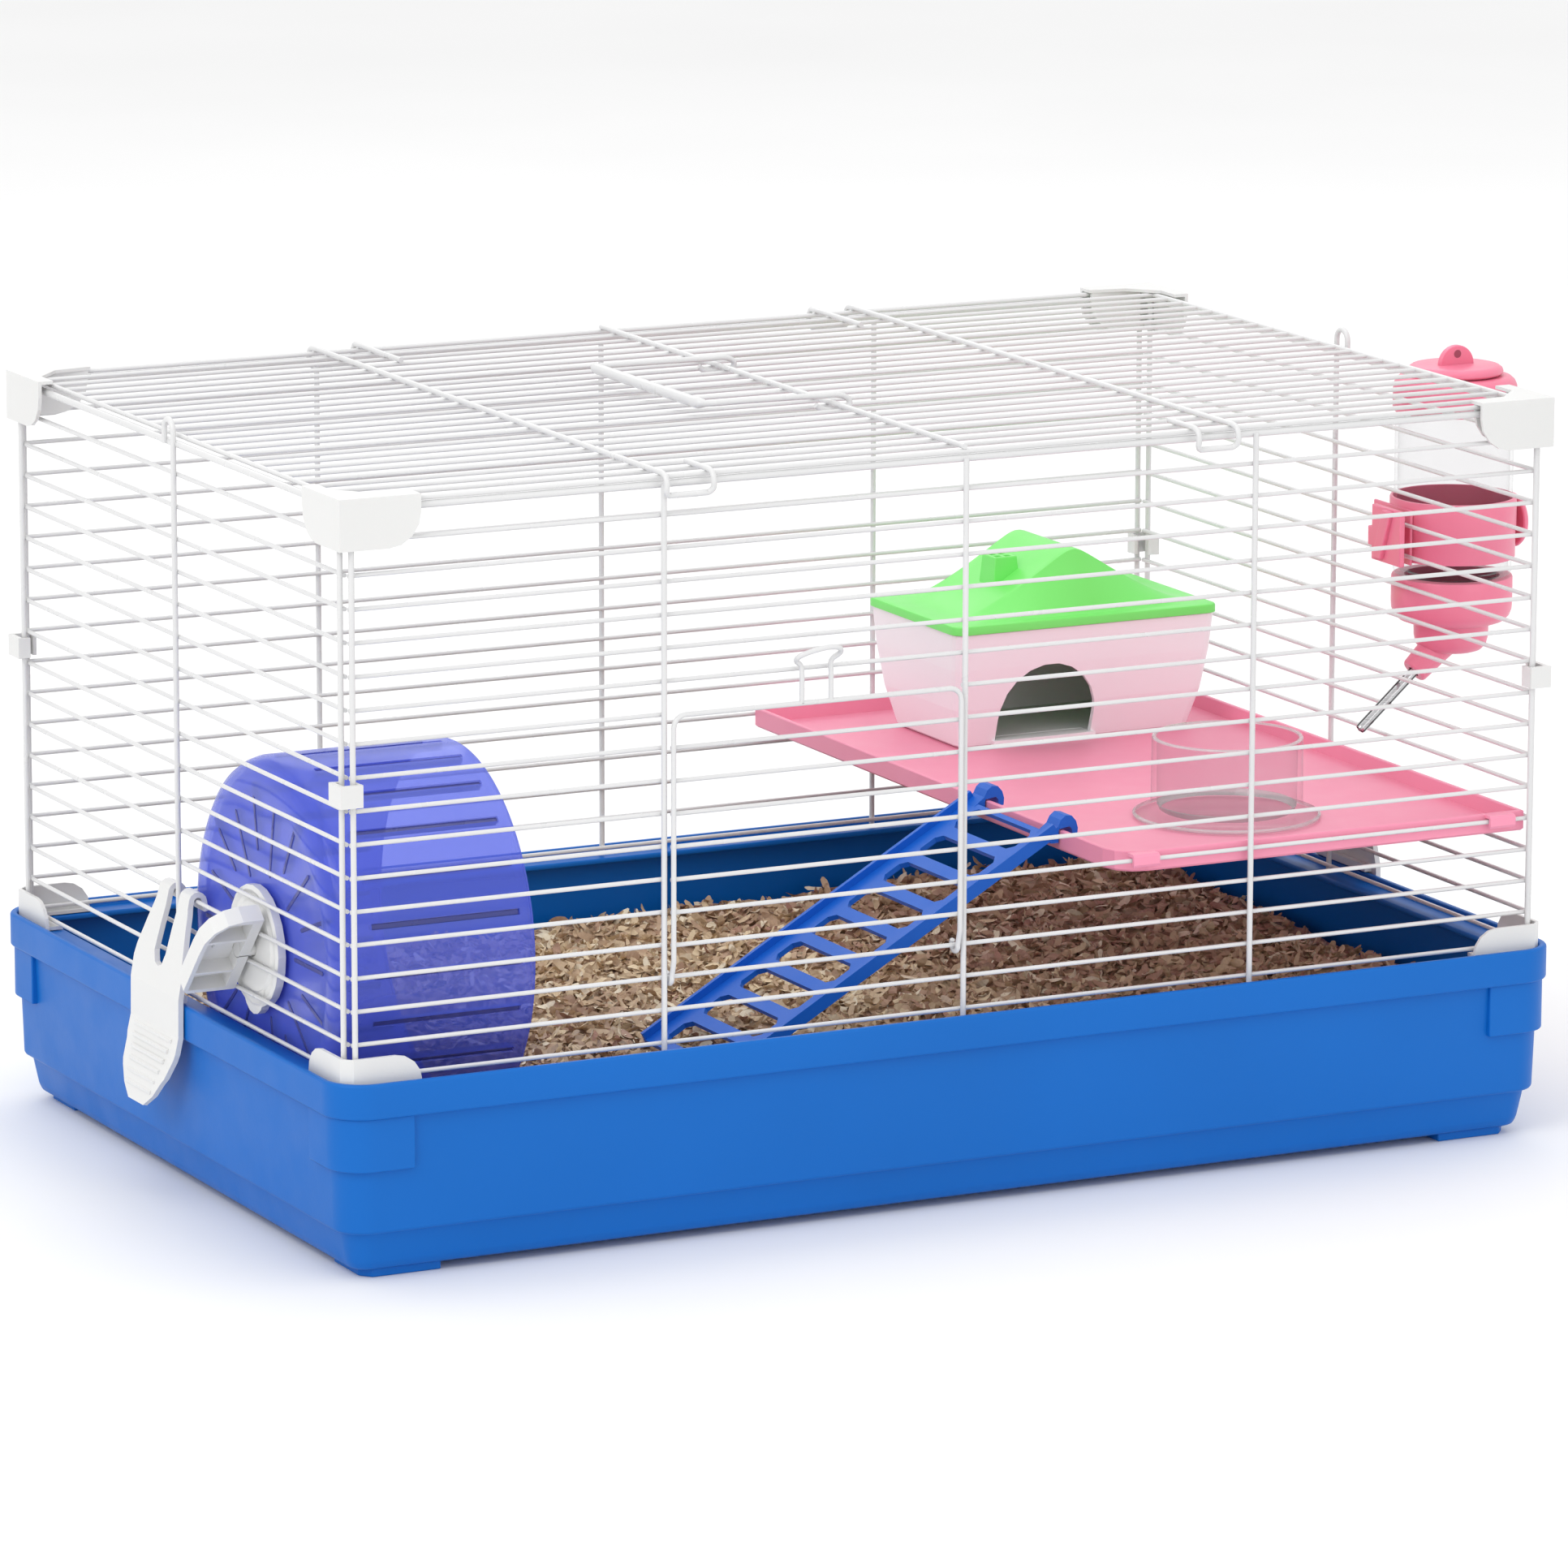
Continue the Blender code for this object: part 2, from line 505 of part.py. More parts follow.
CLIP_FACE = [(-22, 52), (-22, 80), (-20, 86), (-14, 103), (-13, 116), (-5, 116), (-5, 85), (-3, 81), (0, 80),
             (3, 81), (5, 85), (5, 116), (13, 116), (14, 103), (20, 86), (22, 80), (22, 52), (19, 43),
             (13, 35.5), (5, 30), (-5, 30), (-13, 35.5), (-19, 43)]

for side, label in ((-1, "left"), (1, "right")):
    bm = bmesh.new()
    add_prism(bm, [(-side * x, z) for x, z in clip_side()], "Y", -23, 23)
    lever = mesh_object("tray_clip_" + label, bm, "white_plastic")
    bm = bmesh.new()
    add_prism(bm, CLIP_FACE, "X", side * 222, side * 275)
    combine(lever, [mesh_object("cut_clip_face_" + label, bm, cutter=True)], "INTERSECT")
    bm = bmesh.new()
    for k in range(6):
        s = k / 5
        x, z = -247.6 - 5.9 * s, 56.0 - 19.5 * s
        w = 17.0 - 6.0 * s
        add_tube(bm, [(-side * (x - 0.3), -w, z), (-side * (x - 0.3), w, z)], 0.95, 6)
    add_box(bm, side * 242.6, side * 246.8, -18.5, 18.5, 69.9, 72.6)
    combine(lever, [mesh_object("cut_clip_ribs_" + label, bm, cutter=True)])


# ---------------------------------------------------------------- exercise wheel
def build_wheel(bm):
    """Thin drum, closed at its left end, with long slots through its wall."""
    slots, per = 24, 2
    turns = [2 * math.pi * (g + f) / slots for g in range(slots) for f in (0.0, 0.22)]
    xs = [WHEEL_X0 + 8.0, WHEEL_X0 + 17.0, WHEEL_X1 - 5.0, WHEEL_X1]

    def ring(x, r):
        return [bm.verts.new((x, WHEEL_Y + r * math.sin(a), WHEEL_Z + r * math.cos(a))) for a in turns]

    outer = [ring(x, WHEEL_R) for x in xs]
    inner = [ring(x, WHEEL_R - 2.0) for x in xs]
    shoulder, face = ring(WHEEL_X0 + 2.4, WHEEL_R - 2.4), ring(WHEEL_X0, WHEEL_R - 8.0)
    hub_face, hub_in = ring(WHEEL_X0, 3.9), ring(WHEEL_X0 + 11.5, 3.9)
    hub_top, hub_base = ring(WHEEL_X0 + 11.5, 8.0), ring(WHEEL_X0 + 2.2, 10.0)
    face_in, shoulder_in = ring(WHEEL_X0 + 2.2, WHEEL_R - 9.5), ring(WHEEL_X0 + 4.6, WHEEL_R - 4.4)
    count = len(turns)

    def skin(a, b, skip_slots=False, flip=False):
        for i in range(count):
            if skip_slots and i % per == 0:
                continue
            j = (i + 1) % count
            quad = (a[i], a[j], b[j], b[i])
            bm.faces.new(tuple(reversed(quad)) if flip else quad)

    skin(outer[0], outer[1])
    skin(outer[1], outer[2], skip_slots=True)
    skin(outer[2], outer[3])
    skin(outer[3], inner[3])
    skin(inner[3], inner[2])
    skin(inner[2], inner[1], skip_slots=True)
    skin(inner[1], inner[0])
    for g in range(slots):
        i = g * per
        j = i + 1
        bm.faces.new((outer[1][i], outer[1][j], inner[1][j], inner[1][i]))
        bm.faces.new((outer[2][j], outer[2][i], inner[2][i], inner[2][j]))
        bm.faces.new((outer[2][i], outer[1][i], inner[1][i], inner[2][i]))
        bm.faces.new((outer[1][j], outer[2][j], inner[2][j], inner[1][j]))
    chain = [inner[0], shoulder_in, face_in, hub_base, hub_top, hub_in, hub_face, face, shoulder, outer[0]]
    for a, b in zip(chain, chain[1:]):
        skin(a, b)


wheel = simple("exercise_wheel", "wheel_violet", build_wheel)


def build_axle(bm):
    profile = [(0, 0), (3.3, 0), (3.3, 22.6), (6.2, 22.6), (6.2, 24.6), (2.0, 26.2), (0, 26.2)]
    add_lathe(bm, profile, (-241.0, WHEEL_Y, WHEEL_Z), axis=(1, 0, 0), steps=16)


simple("wheel_axle", "white_plastic", build_axle)


def build_disc(bm):
    profile = [(3.7, 0.0), (16.0, 0.0), (17.2, 0.8), (19.0, 0.8), (20.4, 0.0), (22.0, 0.5), (22.0, 3.4),
               (9.0, 4.0), (3.7, 4.0)]
    add_lathe(bm, profile, (-235.0, WHEEL_Y, WHEEL_Z), axis=(1, 0, 0), steps=24)


disc = simple("wheel_mounting_disc", "white_plastic", build_disc)
bm = bmesh.new()
add_lathe(bm, [(0, 0.3), (9.0, 0.3), (9.0, 3.2), (0, 3.2)], (-235.0, WHEEL_Y, WHEEL_Z - 15.5),
          axis=(1, 0, 0), steps=16)
combine(disc, [mesh_object("cut_disc_lobe", bm, cutter=True)])


def bracket_place(u, v, x):
    """Local axes of the turned clamp block: u along it, v through its thickness."""
    a = math.radians(48.0)
    cu, su = math.cos(a), math.sin(a)
    return (x, WHEEL_Y - cu * u + su * v, WHEEL_Z + su * u + cu * v)


def bracket_prism(bm, outline, v0, v1):
    add_ring_loft(bm, [[bracket_place(u, v, x) for u, x in outline] for v in (v0, v1)])


BRACKET = [(-20.5, -237.2), (20.5, -237.2), (20.5, -245.0), (19.0, -250.2), (15.0, -254.6), (9.5, -256.8),
           (3.0, -257.2), (-18.5, -257.2), (-20.5, -255.6)]
bm = bmesh.new()
bracket_prism(bm, BRACKET, -3.4, 3.4)
bracket = mesh_object("wheel_clamp_bracket", bm, "white_plastic")
bm = bmesh.new()
for low, high in ((-18.7, -9.6), (-8.4, 8.4), (9.6, 18.7)):
    pocket = [(low, -241.0), (high, -241.0), (high, -249.0 if high > 18 else -255.4),
              (min(high, 14.5), -253.5 if high > 18 else -255.4), (low, -255.4)]
    if high < 18:
        pocket = [(low, -241.0), (high, -241.0), (high, -255.4), (low, -255.4)]
    bracket_prism(bm, pocket, -4.0, 2.0)
for u in (0.5, 6.5):
    hole = [(u + 1.9 * math.cos(2 * math.pi * k / 10), -248.0 + 1.9 * math.sin(2 * math.pi * k / 10))
            for k in range(10)]
    bracket_prism(bm, hole, 1.0, 5.0)
cut_pockets = mesh_object("cut_bracket_pockets", bm, cutter=True)
bm = bmesh.new()
add_lathe(bm, [(0, 0), (3.6, 0), (3.6, 5.0), (0, 5.0)], (-241.4, WHEEL_Y, WHEEL_Z), axis=(1, 0, 0), steps=16)
combine(bracket, [cut_pockets, mesh_object("cut_bracket_bore", bm, cutter=True)], "DIFFERENCE")


# ---------------------------------------------------------------- shelf
def build_shelf(bm):
    """Open tray: outer rings up, over the lip and down inside."""
    cx, hx = (SHELF_X0 + SHELF_X1) / 2, (SHELF_X1 - SHELF_X0) / 2

    def ring(inset, z):
        x0, x1, y = SHELF_X0 + inset, SHELF_X1 - inset, SHELF_Y - inset
        r = 12.0 - inset * 0.6
        front = [(x0 + r - r * math.cos(math.radians(a)), -y + r - r * math.sin(math.radians(a)), z)
                 for a in (0, 30, 60, 90)]
        return front + [(x1, -y, z), (x1, y, z), (x0, y, z)]

    add_ring_loft(bm, [ring(0.8, SHELF_Z), ring(0.0, SHELF_Z + 0.8), ring(0.0, SHELF_TOP - 0.3),
                       ring(0.3, SHELF_TOP), ring(1.6, SHELF_TOP), ring(1.8, SHELF_TOP - 0.3),
                       ring(2.2, SHELF_Z + 2.0)])


shelf = simple("shelf_platform", "pink_plastic", build_shelf)
bm = bmesh.new()
for s in (-1, 1):
    for x in (69.4, 218.0):
        y = s * HALF_W
        hook = [(s * 144.6, 118.2), (s * 144.6, 119.35), (s * 149.0, 119.35), (s * 149.9, 118.4),
                (s * 149.9, 115.6), (s * 149.2, 114.6), (s * 148.6, 115.4), (s * 148.6, 118.2)]
        add_prism(bm, hook, "X", x, x + 10.6)
combine(shelf, [mesh_object("cut_shelf_tabs", bm, cutter=True)])


# ---------------------------------------------------------------- ladder
def ladder_place(s, y, h):
    """s along the slope from the top, h out of the tread face."""
    c, n = math.cos(LADDER_SLOPE), math.sin(LADDER_SLOPE)
    return (LADDER_TOP[0] - s * c - h * n, y, LADDER_TOP[1] - s * n + h * c)


def ladder_box(bm, s0, s1, y0, y1, h0, h1):
    add_ring_loft(bm, [[ladder_place(s, y, h) for s, y in ((s0, y0), (s1, y0), (s1, y1), (s0, y1))]
                       for h in (h0, h1)])


HALF = LADDER_W / 2
bm = bmesh.new()
ladder_box(bm, 7.0, LADDER_LEN, LADDER_Y - HALF, LADDER_Y + HALF, -4.4, -2.4)
ladder = mesh_object("ladder", bm, "ladder_blue")
bm = bmesh.new()
for k in range(9):
    s0 = 9.0 + 16.9 * k
    outline = [(s0, -20), (s0 + 2.5, -23), (s0 + 9.2, -23), (s0 + 11.7, -20), (s0 + 11.7, 20), (s0 + 9.2, 23),
               (s0 + 2.5, 23), (s0, 20)]
    add_ring_loft(bm, [[ladder_place(s, LADDER_Y + v, h) for s, v in outline] for h in (-6, 0)])
combine(ladder, [mesh_object("cut_ladder_openings", bm, cutter=True)], "DIFFERENCE")
bm = bmesh.new()
for side in (-1, 1):
    edge = LADDER_Y + side * HALF
    inner = edge - side * 1.8
    ladder_box(bm, 4.6, LADDER_LEN - 0.2, min(edge, inner), max(edge, inner), -4.6, 0.2)
flanges = mesh_object("cut_ladder_flanges", bm, cutter=True)
bm = bmesh.new()
for side in (-1, 1):
    mid = LADDER_Y + side * (HALF - 4.6)
    ear = [(60.0, 117.6), (64.4, 121.0), (65.6, 123.4), (67.6, 124.9), (70.0, 124.6), (71.8, 122.6),
           (72.6, 120.0), (72.4, 117.4), (70.4, 117.2), (70.2, 119.6), (69.2, 120.7), (64.9, 120.1),
           (64.7, 119.0), (64.7, 115.0), (61.5, 115.0)]
    add_prism(bm, ear, "Y", mid - 4.4, mid + 4.4)
combine(ladder, [flanges, mesh_object("cut_ladder_ears", bm, cutter=True)])


# ---------------------------------------------------------------- house
def house_ring(hx, hy, z, r=4.0):
    return rounded_rect(hx, hy, r, z, per_corner=4, cx=HOUSE_X, cy=HOUSE_Y)


def build_house(bm):
    add_ring_loft(bm, [house_ring(49.0, 26.0, HOUSE_Z), house_ring(50.2, 27.2, HOUSE_Z + 1.0),
                       house_ring(53.6, 31.6, 130.0), house_ring(55.6, 34.6, 146.0),
                       house_ring(56.4, 36.4, 160.1),
                       house_ring(54.6, 34.6, 160.1, 3.0), house_ring(53.8, 32.8, 146.0, 3.0),
                       house_ring(51.8, 29.8, 130.0, 3.0), house_ring(48.2, 25.2, HOUSE_Z + 2.2, 3.0)])


house = simple("house_body", "house_white", build_house)
arch_x, arch_w = 146.6, 20.8
arch = [(arch_x - arch_w, 116.4), (arch_x + arch_w, 116.4), (arch_x + arch_w, 125.0)]
arch += [(x, 125.0 + (z - 125.0) * 1.01) for x, z in arc(arch_x, 125.0, arch_w, 12, 168, 9)]
arch += [(arch_x - arch_w, 125.0)]
bm = bmesh.new()
add_prism(bm, arch, "Y", HOUSE_Y - 45, HOUSE_Y - 20)
combine(house, [mesh_object("cut_house_door", bm, cutter=True)], "DIFFERENCE")
bm = bmesh.new()
add_box(bm, arch_x - 22.0, arch_x + 22.0, HOUSE_Y - 29.6, HOUSE_Y - 24.5, HOUSE_Z + 0.1, 116.7)
combine(house, [mesh_object("cut_house_sill", bm, cutter=True)])


def roof_height(u, v):
    """Pagoda-like roof: the ridge runs in Y and the slopes sweep out to a flat rim."""
    side = max(0.0, 1.0 - abs(u - 1.0) / 49.0)
    slope = 163.9 + 24.8 * side ** 1.4
    end = max(0.0, min(1.0, (33.5 - abs(v)) / 10.5))
    return 163.9 + (slope - 163.9) * end


def build_lid(bm):
    us = [-57.3, -55.9, -48.0, -36.0, -26.0, -17.0, -8.0, -1.5, 3.5, 10.0, 18.0, 26.0, 36.0, 49.0, 55.9, 57.3]
    vs = [-37.3, -35.9, -33.5, -28.2, -23.0, 23.0, 28.2, 33.5, 35.9, 37.3]

    def top_z(i, j):
        edge = i in (0, len(us) - 1) or j in (0, len(vs) - 1)
        return 163.2 if edge else roof_height(us[i], vs[j])

    def low_z(i, j):
        rim = i < 2 or i > len(us) - 3 or j < 2 or j > len(vs) - 3
        return 160.4 if rim else roof_height(us[i], vs[j]) - 1.8

    grids = []
    for height in (top_z, low_z):
        grids.append([[bm.verts.new((HOUSE_X + u, HOUSE_Y + v, height(i, j))) for j, v in enumerate(vs)]
                      for i, u in enumerate(us)])
    top, low = grids
    nu, nv = len(us), len(vs)
    for i in range(nu - 1):
        for j in range(nv - 1):
            bm.faces.new((top[i][j], top[i + 1][j], top[i + 1][j + 1], top[i][j + 1]))
            bm.faces.new((low[i][j + 1], low[i + 1][j + 1], low[i + 1][j], low[i][j]))
    edge = [(i, 0) for i in range(nu)] + [(nu - 1, j) for j in range(1, nv)]
    edge += [(i, nv - 1) for i in range(nu - 2, -1, -1)] + [(0, j) for j in range(nv - 2, 0, -1)]
    for a, b in zip(edge, edge[1:] + edge[:1]):
        bm.faces.new((top[a[0]][a[1]], low[a[0]][a[1]], low[b[0]][b[1]], top[b[0]][b[1]]))


lid = simple("house_lid", "lid_green", build_lid)
CHIMNEY_X, CHIMNEY_Y, CHIMNEY_TOP = HOUSE_X - 20.5, HOUSE_Y - 3.0, 183.4
bm = bmesh.new()
add_ring_loft(bm, [[(CHIMNEY_X + sx * a, CHIMNEY_Y + sy * b, z)
                    for sx, sy in ((-1, -1), (1, -1), (1, 1), (-1, 1))]
                   for z, a, b in ((171.6, 5.8, 6.3), (CHIMNEY_TOP, 4.7, 5.3))])
chimney = mesh_object("cut_chimney", bm, cutter=True)
bm = bmesh.new()
for sx in (-1, 1):
    for sy in (-1, 1):
        add_box(bm, CHIMNEY_X + sx * 2.0 - 1.3, CHIMNEY_X + sx * 2.0 + 1.3, CHIMNEY_Y + sy * 2.3 - 1.5,
                CHIMNEY_Y + sy * 2.3 + 1.5, CHIMNEY_TOP - 3.0, CHIMNEY_TOP + 2.0)
combine(lid, [chimney])
combine(lid, [mesh_object("cut_chimney_holes", bm, cutter=True)], "DIFFERENCE")


# ---------------------------------------------------------------- bowl
def build_bowl(bm):
    profile = [(0, 0), (33.6, 0), (34.7, 0.6), (34.7, 1.4), (29.6, 2.6), (28.0, 5.0), (27.8, 29.6),
               (27.3, 30.2), (26.4, 30.2), (26.0, 29.6), (25.8, 5.0), (24.0, 2.2), (0, 2.2)]
    add_lathe(bm, profile, (BOWL_X, BOWL_Y, SHELF_Z + 2.3), steps=28)


simple("food_bowl", "clear_plastic", build_bowl)


# ---------------------------------------------------------------- water bottle
def lathe_node(name, material, profile, z, steps=24):
    simple(name, material, lambda bm: add_lathe(bm, profile, (BOTTLE_X, BOTTLE_Y, z), steps=steps))


lathe_node("bottle_body", "clear_plastic",
           [(16.4, 179.0), (17.4, 179.0), (17.4, 189.2), (21.4, 189.6), (22.3, 190.8), (22.3, 249.6),
            (21.6, 250.8), (20.9, 251.0), (20.9, 260.6), (19.7, 260.6), (19.7, 250.6), (21.0, 249.0),
            (21.0, 191.6), (16.4, 190.6)], 0)
lathe_node("bottle_shoulder", "pink_plastic",
           [(15.2, 262.8), (15.2, 264.7), (19.9, 264.6), (22.1, 263.2), (23.3, 260.0), (23.3, 251.4),
            (21.3, 251.4), (21.3, 260.2), (20.5, 261.6), (19.1, 262.8)], 0)


def build_stopper(bm):
    add_lathe(bm, [(0, 258.4), (14.6, 258.4), (14.6, 265.2), (17.6, 265.4), (17.9, 266.4), (17.4, 267.8),
                   (15.8, 268.6), (0, 268.6)], (BOTTLE_X, BOTTLE_Y, 0), steps=32)


stopper = simple("bottle_stopper", "pink_plastic", build_stopper)
bm = bmesh.new()
tab = [(BOTTLE_X - 7.2, 267.6), (BOTTLE_X + 7.2, 267.6)] + arc(BOTTLE_X, 268.6, 7.2, 0, 180, 8)
add_prism(bm, tab, "Y", BOTTLE_Y - 1.3, BOTTLE_Y + 1.3)
tab_cut = mesh_object("cut_stopper_tab", bm, cutter=True)
bm = bmesh.new()
add_lathe(bm, [(0, -4), (1.5, -4), (1.5, 4), (0, 4)], (BOTTLE_X, BOTTLE_Y, 272.6), axis=(0, 1, 0), steps=10)
combine(stopper, [tab_cut])
combine(stopper, [mesh_object("cut_stopper_hole", bm, cutter=True)], "DIFFERENCE")

AIM = Vector((-math.cos(SPOUT_SLOPE), 0, -math.sin(SPOUT_SLOPE)))
SPOUT_ROOT = Vector((BOTTLE_X + 0.6, BOTTLE_Y, 167.4))


def build_elbow(bm):
    add_lathe(bm, [(2.35, 1.5), (6.6, 1.5), (6.0, 10.0), (5.2, 21.4), (4.7, 22.2), (2.35, 22.2)],
              SPOUT_ROOT, axis=AIM, steps=14)


def build_lower_cap(bm):
    add_lathe(bm, [(0, 159.8), (10.2, 159.8), (13.4, 162.4), (14.1, 170.4), (17.2, 171.0), (21.0, 172.8),
                   (22.7, 176.8), (22.8, 188.9), (17.9, 188.9), (17.9, 177.8), (0, 177.8)],
              (BOTTLE_X, BOTTLE_Y, 0), steps=24)


lower_cap = simple("bottle_lower_cap", "pink_plastic", build_lower_cap)
combine(lower_cap, [simple("cut_lower_cap_elbow", None, build_elbow, cutter=True)])


def build_ring(bm):
    add_lathe(bm, [(22.6, 196.0), (23.5, 196.2), (23.5, 207.2), (23.8, 207.7), (23.8, 218.4), (23.4, 219.0),
                   (22.6, 219.0)], (BOTTLE_X, BOTTLE_Y, 0), steps=28)


ring_obj = simple("bottle_holder", "pink_plastic", build_ring)
bm = bmesh.new()
add_box(bm, 237.1, 238.3, BOTTLE_Y - 9.0, BOTTLE_Y + 18.0, 195.4, 216.4)
arm = mesh_object("cut_holder_plate", bm, cutter=True)
bm = bmesh.new()
add_box(bm, 229.4, 238.0, BOTTLE_Y - 3.0, BOTTLE_Y + 9.0, row_z(6) + 2.2, row_z(5) - 2.2)
neck = mesh_object("cut_holder_neck", bm, cutter=True)
bm = bmesh.new()
add_box(bm, 229.2, 231.4, BOTTLE_Y - 15.0, BOTTLE_Y + 6.0, 196.2, 217.2)
add_prism(bm, [(-58.0, 216.6), (-52.0, 216.6), (-45.0, 197.4), (-51.0, 197.4)], "X", 227.6, 229.6)
combine(ring_obj, [arm, neck, mesh_object("cut_holder_inner", bm, cutter=True)])


def build_knob(bm):
    add_lathe(bm, [(0, 0), (4.0, 0), (4.0, 0.9), (10.3, 0.9), (10.3, 2.3), (7.6, 3.9), (0, 4.3)],
              (BOTTLE_X + 24.2, BOTTLE_Y, 207.6), axis=(1, 0, 0), steps=24)


simple("holder_end_knob", "pink_plastic", build_knob)

def build_spout(bm):
    add_lathe(bm, [(1.6, 14.8), (2.0, 14.8), (2.0, SPOUT_LEN - 1.2), (1.75, SPOUT_LEN), (1.45, SPOUT_LEN),
                   (1.6, SPOUT_LEN - 1.2)], SPOUT_ROOT, axis=AIM, steps=10)


simple("spout_tube", "steel", build_spout)


def build_ball(bm):
    steps = 6
    profile = [(0, -1.35)] + [(1.35 * math.sin(math.pi * k / steps), -1.35 * math.cos(math.pi * k / steps))
                              for k in range(1, steps)] + [(0, 1.35)]
    add_lathe(bm, profile, SPOUT_ROOT + AIM * (SPOUT_LEN - 0.8), axis=AIM, steps=10)


simple("spout_ball", "steel", build_ball)
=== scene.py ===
import math
import random

import bmesh
import bpy
from mathutils import Matrix, Vector, noise

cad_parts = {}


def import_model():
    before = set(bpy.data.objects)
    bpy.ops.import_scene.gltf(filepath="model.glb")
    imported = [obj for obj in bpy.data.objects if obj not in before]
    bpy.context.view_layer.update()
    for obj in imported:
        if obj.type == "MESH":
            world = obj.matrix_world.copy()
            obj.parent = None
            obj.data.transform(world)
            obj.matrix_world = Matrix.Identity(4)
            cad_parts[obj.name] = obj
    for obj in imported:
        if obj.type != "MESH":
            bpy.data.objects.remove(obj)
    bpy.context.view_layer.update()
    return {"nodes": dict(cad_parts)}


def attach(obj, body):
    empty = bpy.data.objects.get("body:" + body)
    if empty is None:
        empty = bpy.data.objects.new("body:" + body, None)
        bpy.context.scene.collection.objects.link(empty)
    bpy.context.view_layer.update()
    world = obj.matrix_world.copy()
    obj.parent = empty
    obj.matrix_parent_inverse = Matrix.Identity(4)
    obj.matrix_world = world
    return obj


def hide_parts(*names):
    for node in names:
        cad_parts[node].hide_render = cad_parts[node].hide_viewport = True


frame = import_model()
random.seed(7)

# Sizes are in mm from the middle of the tray floor; world() moves them to the shared frame, in metres.
CX, DZ = 15.95, 2.3
# Wire cage: rows are numbered from the top, 1 to 17; row 17 lies at Z17.
HALF_W, PITCH, Z17 = 147.3, 11.725, 70.0
R_THIN, R_POST, R_RAIL = 0.8, 1.05, 1.3
POSTS = (-117.0, 1.0, 117.8)
END_X, WIRE_X = 236.0, 235.6
RAIL_Z, POST_TOP, POST_FOOT, CORNER_FOOT = 268.5, 268.7, 67.5, 68.9
ROOF_GAPS, Z_ROOF, CROSS_X = 25, 270.9, (-118.0, 0.8, 108.0)
CROSS_Z = 272.72
# Pieces that stand in the cage or hang on it.
DOOR_X, DOOR_Y, R_DOOR = (-114.4, -1.6), -151.15, 0.95
TRAY_HX, TRAY_HY, TRAY_R, TRAY_TOP = 241.2, 153.5, 12.0, 69.5
WHEEL_Y, WHEEL_Z = -60.0, 98.6
WHEEL_X, WHEEL_R, AXLE_X = (-230.5, -156.0), 67.0, -241.0
LADDER_Y = -69.0
HOUSE_X, HOUSE_Y = 161.0, 90.0
BOWL_X, BOWL_Y, BOWL_Z = 144.0, -85.0, 114.3
BOTTLE_X, BOTTLE_Y = 261.0, -48.0
SPOUT_SLOPE, SPOUT_LEN = math.radians(41.3), 52.7
KNOB_Z, TAB_HOLE_Z, TAB_R = 207.6, 272.6, 7.2
FLAKES = 15500
CAM_AT, CAM_LENS = (-1421.2, -2834.9, 799.6), 201.77
CAM_YAW, CAM_PITCH, CAM_ROLL = 0.46597, 0.21009, 0.00212      # radians


def row_z(row):
    """Height of a row of horizontal wires."""
    return Z17 + (17 - row) * PITCH


def world(p):
    """A point in mm, as the scene's metres."""
    return Vector(((p[0] - CX) * 0.001, p[1] * 0.001, (p[2] + DZ) * 0.001))


# ---------------------------------------------------------------- materials
def nodes_of(name):
    mat = bpy.data.materials.new(name)
    mat.use_nodes = True
    tree = mat.node_tree
    return mat, tree, tree.nodes["Principled BSDF"]


def link(tree, a, b):
    tree.links.new(a, b)


def noise_node(tree, scale, detail=3.0, stretch=(1, 1, 1)):
    tc = tree.nodes.new("ShaderNodeTexCoord")
    mp = tree.nodes.new("ShaderNodeMapping")
    mp.inputs["Scale"].default_value = stretch
    nz = tree.nodes.new("ShaderNodeTexNoise")
    nz.inputs["Scale"].default_value = scale
    nz.inputs["Detail"].default_value = detail
    link(tree, tc.outputs["Object"], mp.inputs["Vector"])
    link(tree, mp.outputs["Vector"], nz.inputs["Vector"])
    return nz


def ramp_node(tree, source, stops):
    ramp = tree.nodes.new("ShaderNodeValToRGB")
    els = ramp.color_ramp.elements
    while len(els) < len(stops):
        els.new(0.5)
    for el, (pos, col) in zip(els, stops):
        el.position = pos
        el.color = (*col, 1.0)
    link(tree, source, ramp.inputs["Fac"])
    return ramp


def shade(c, k):
    """A colour made k times as bright."""
    return tuple(max(0.0, min(1.0, v * k)) for v in c)


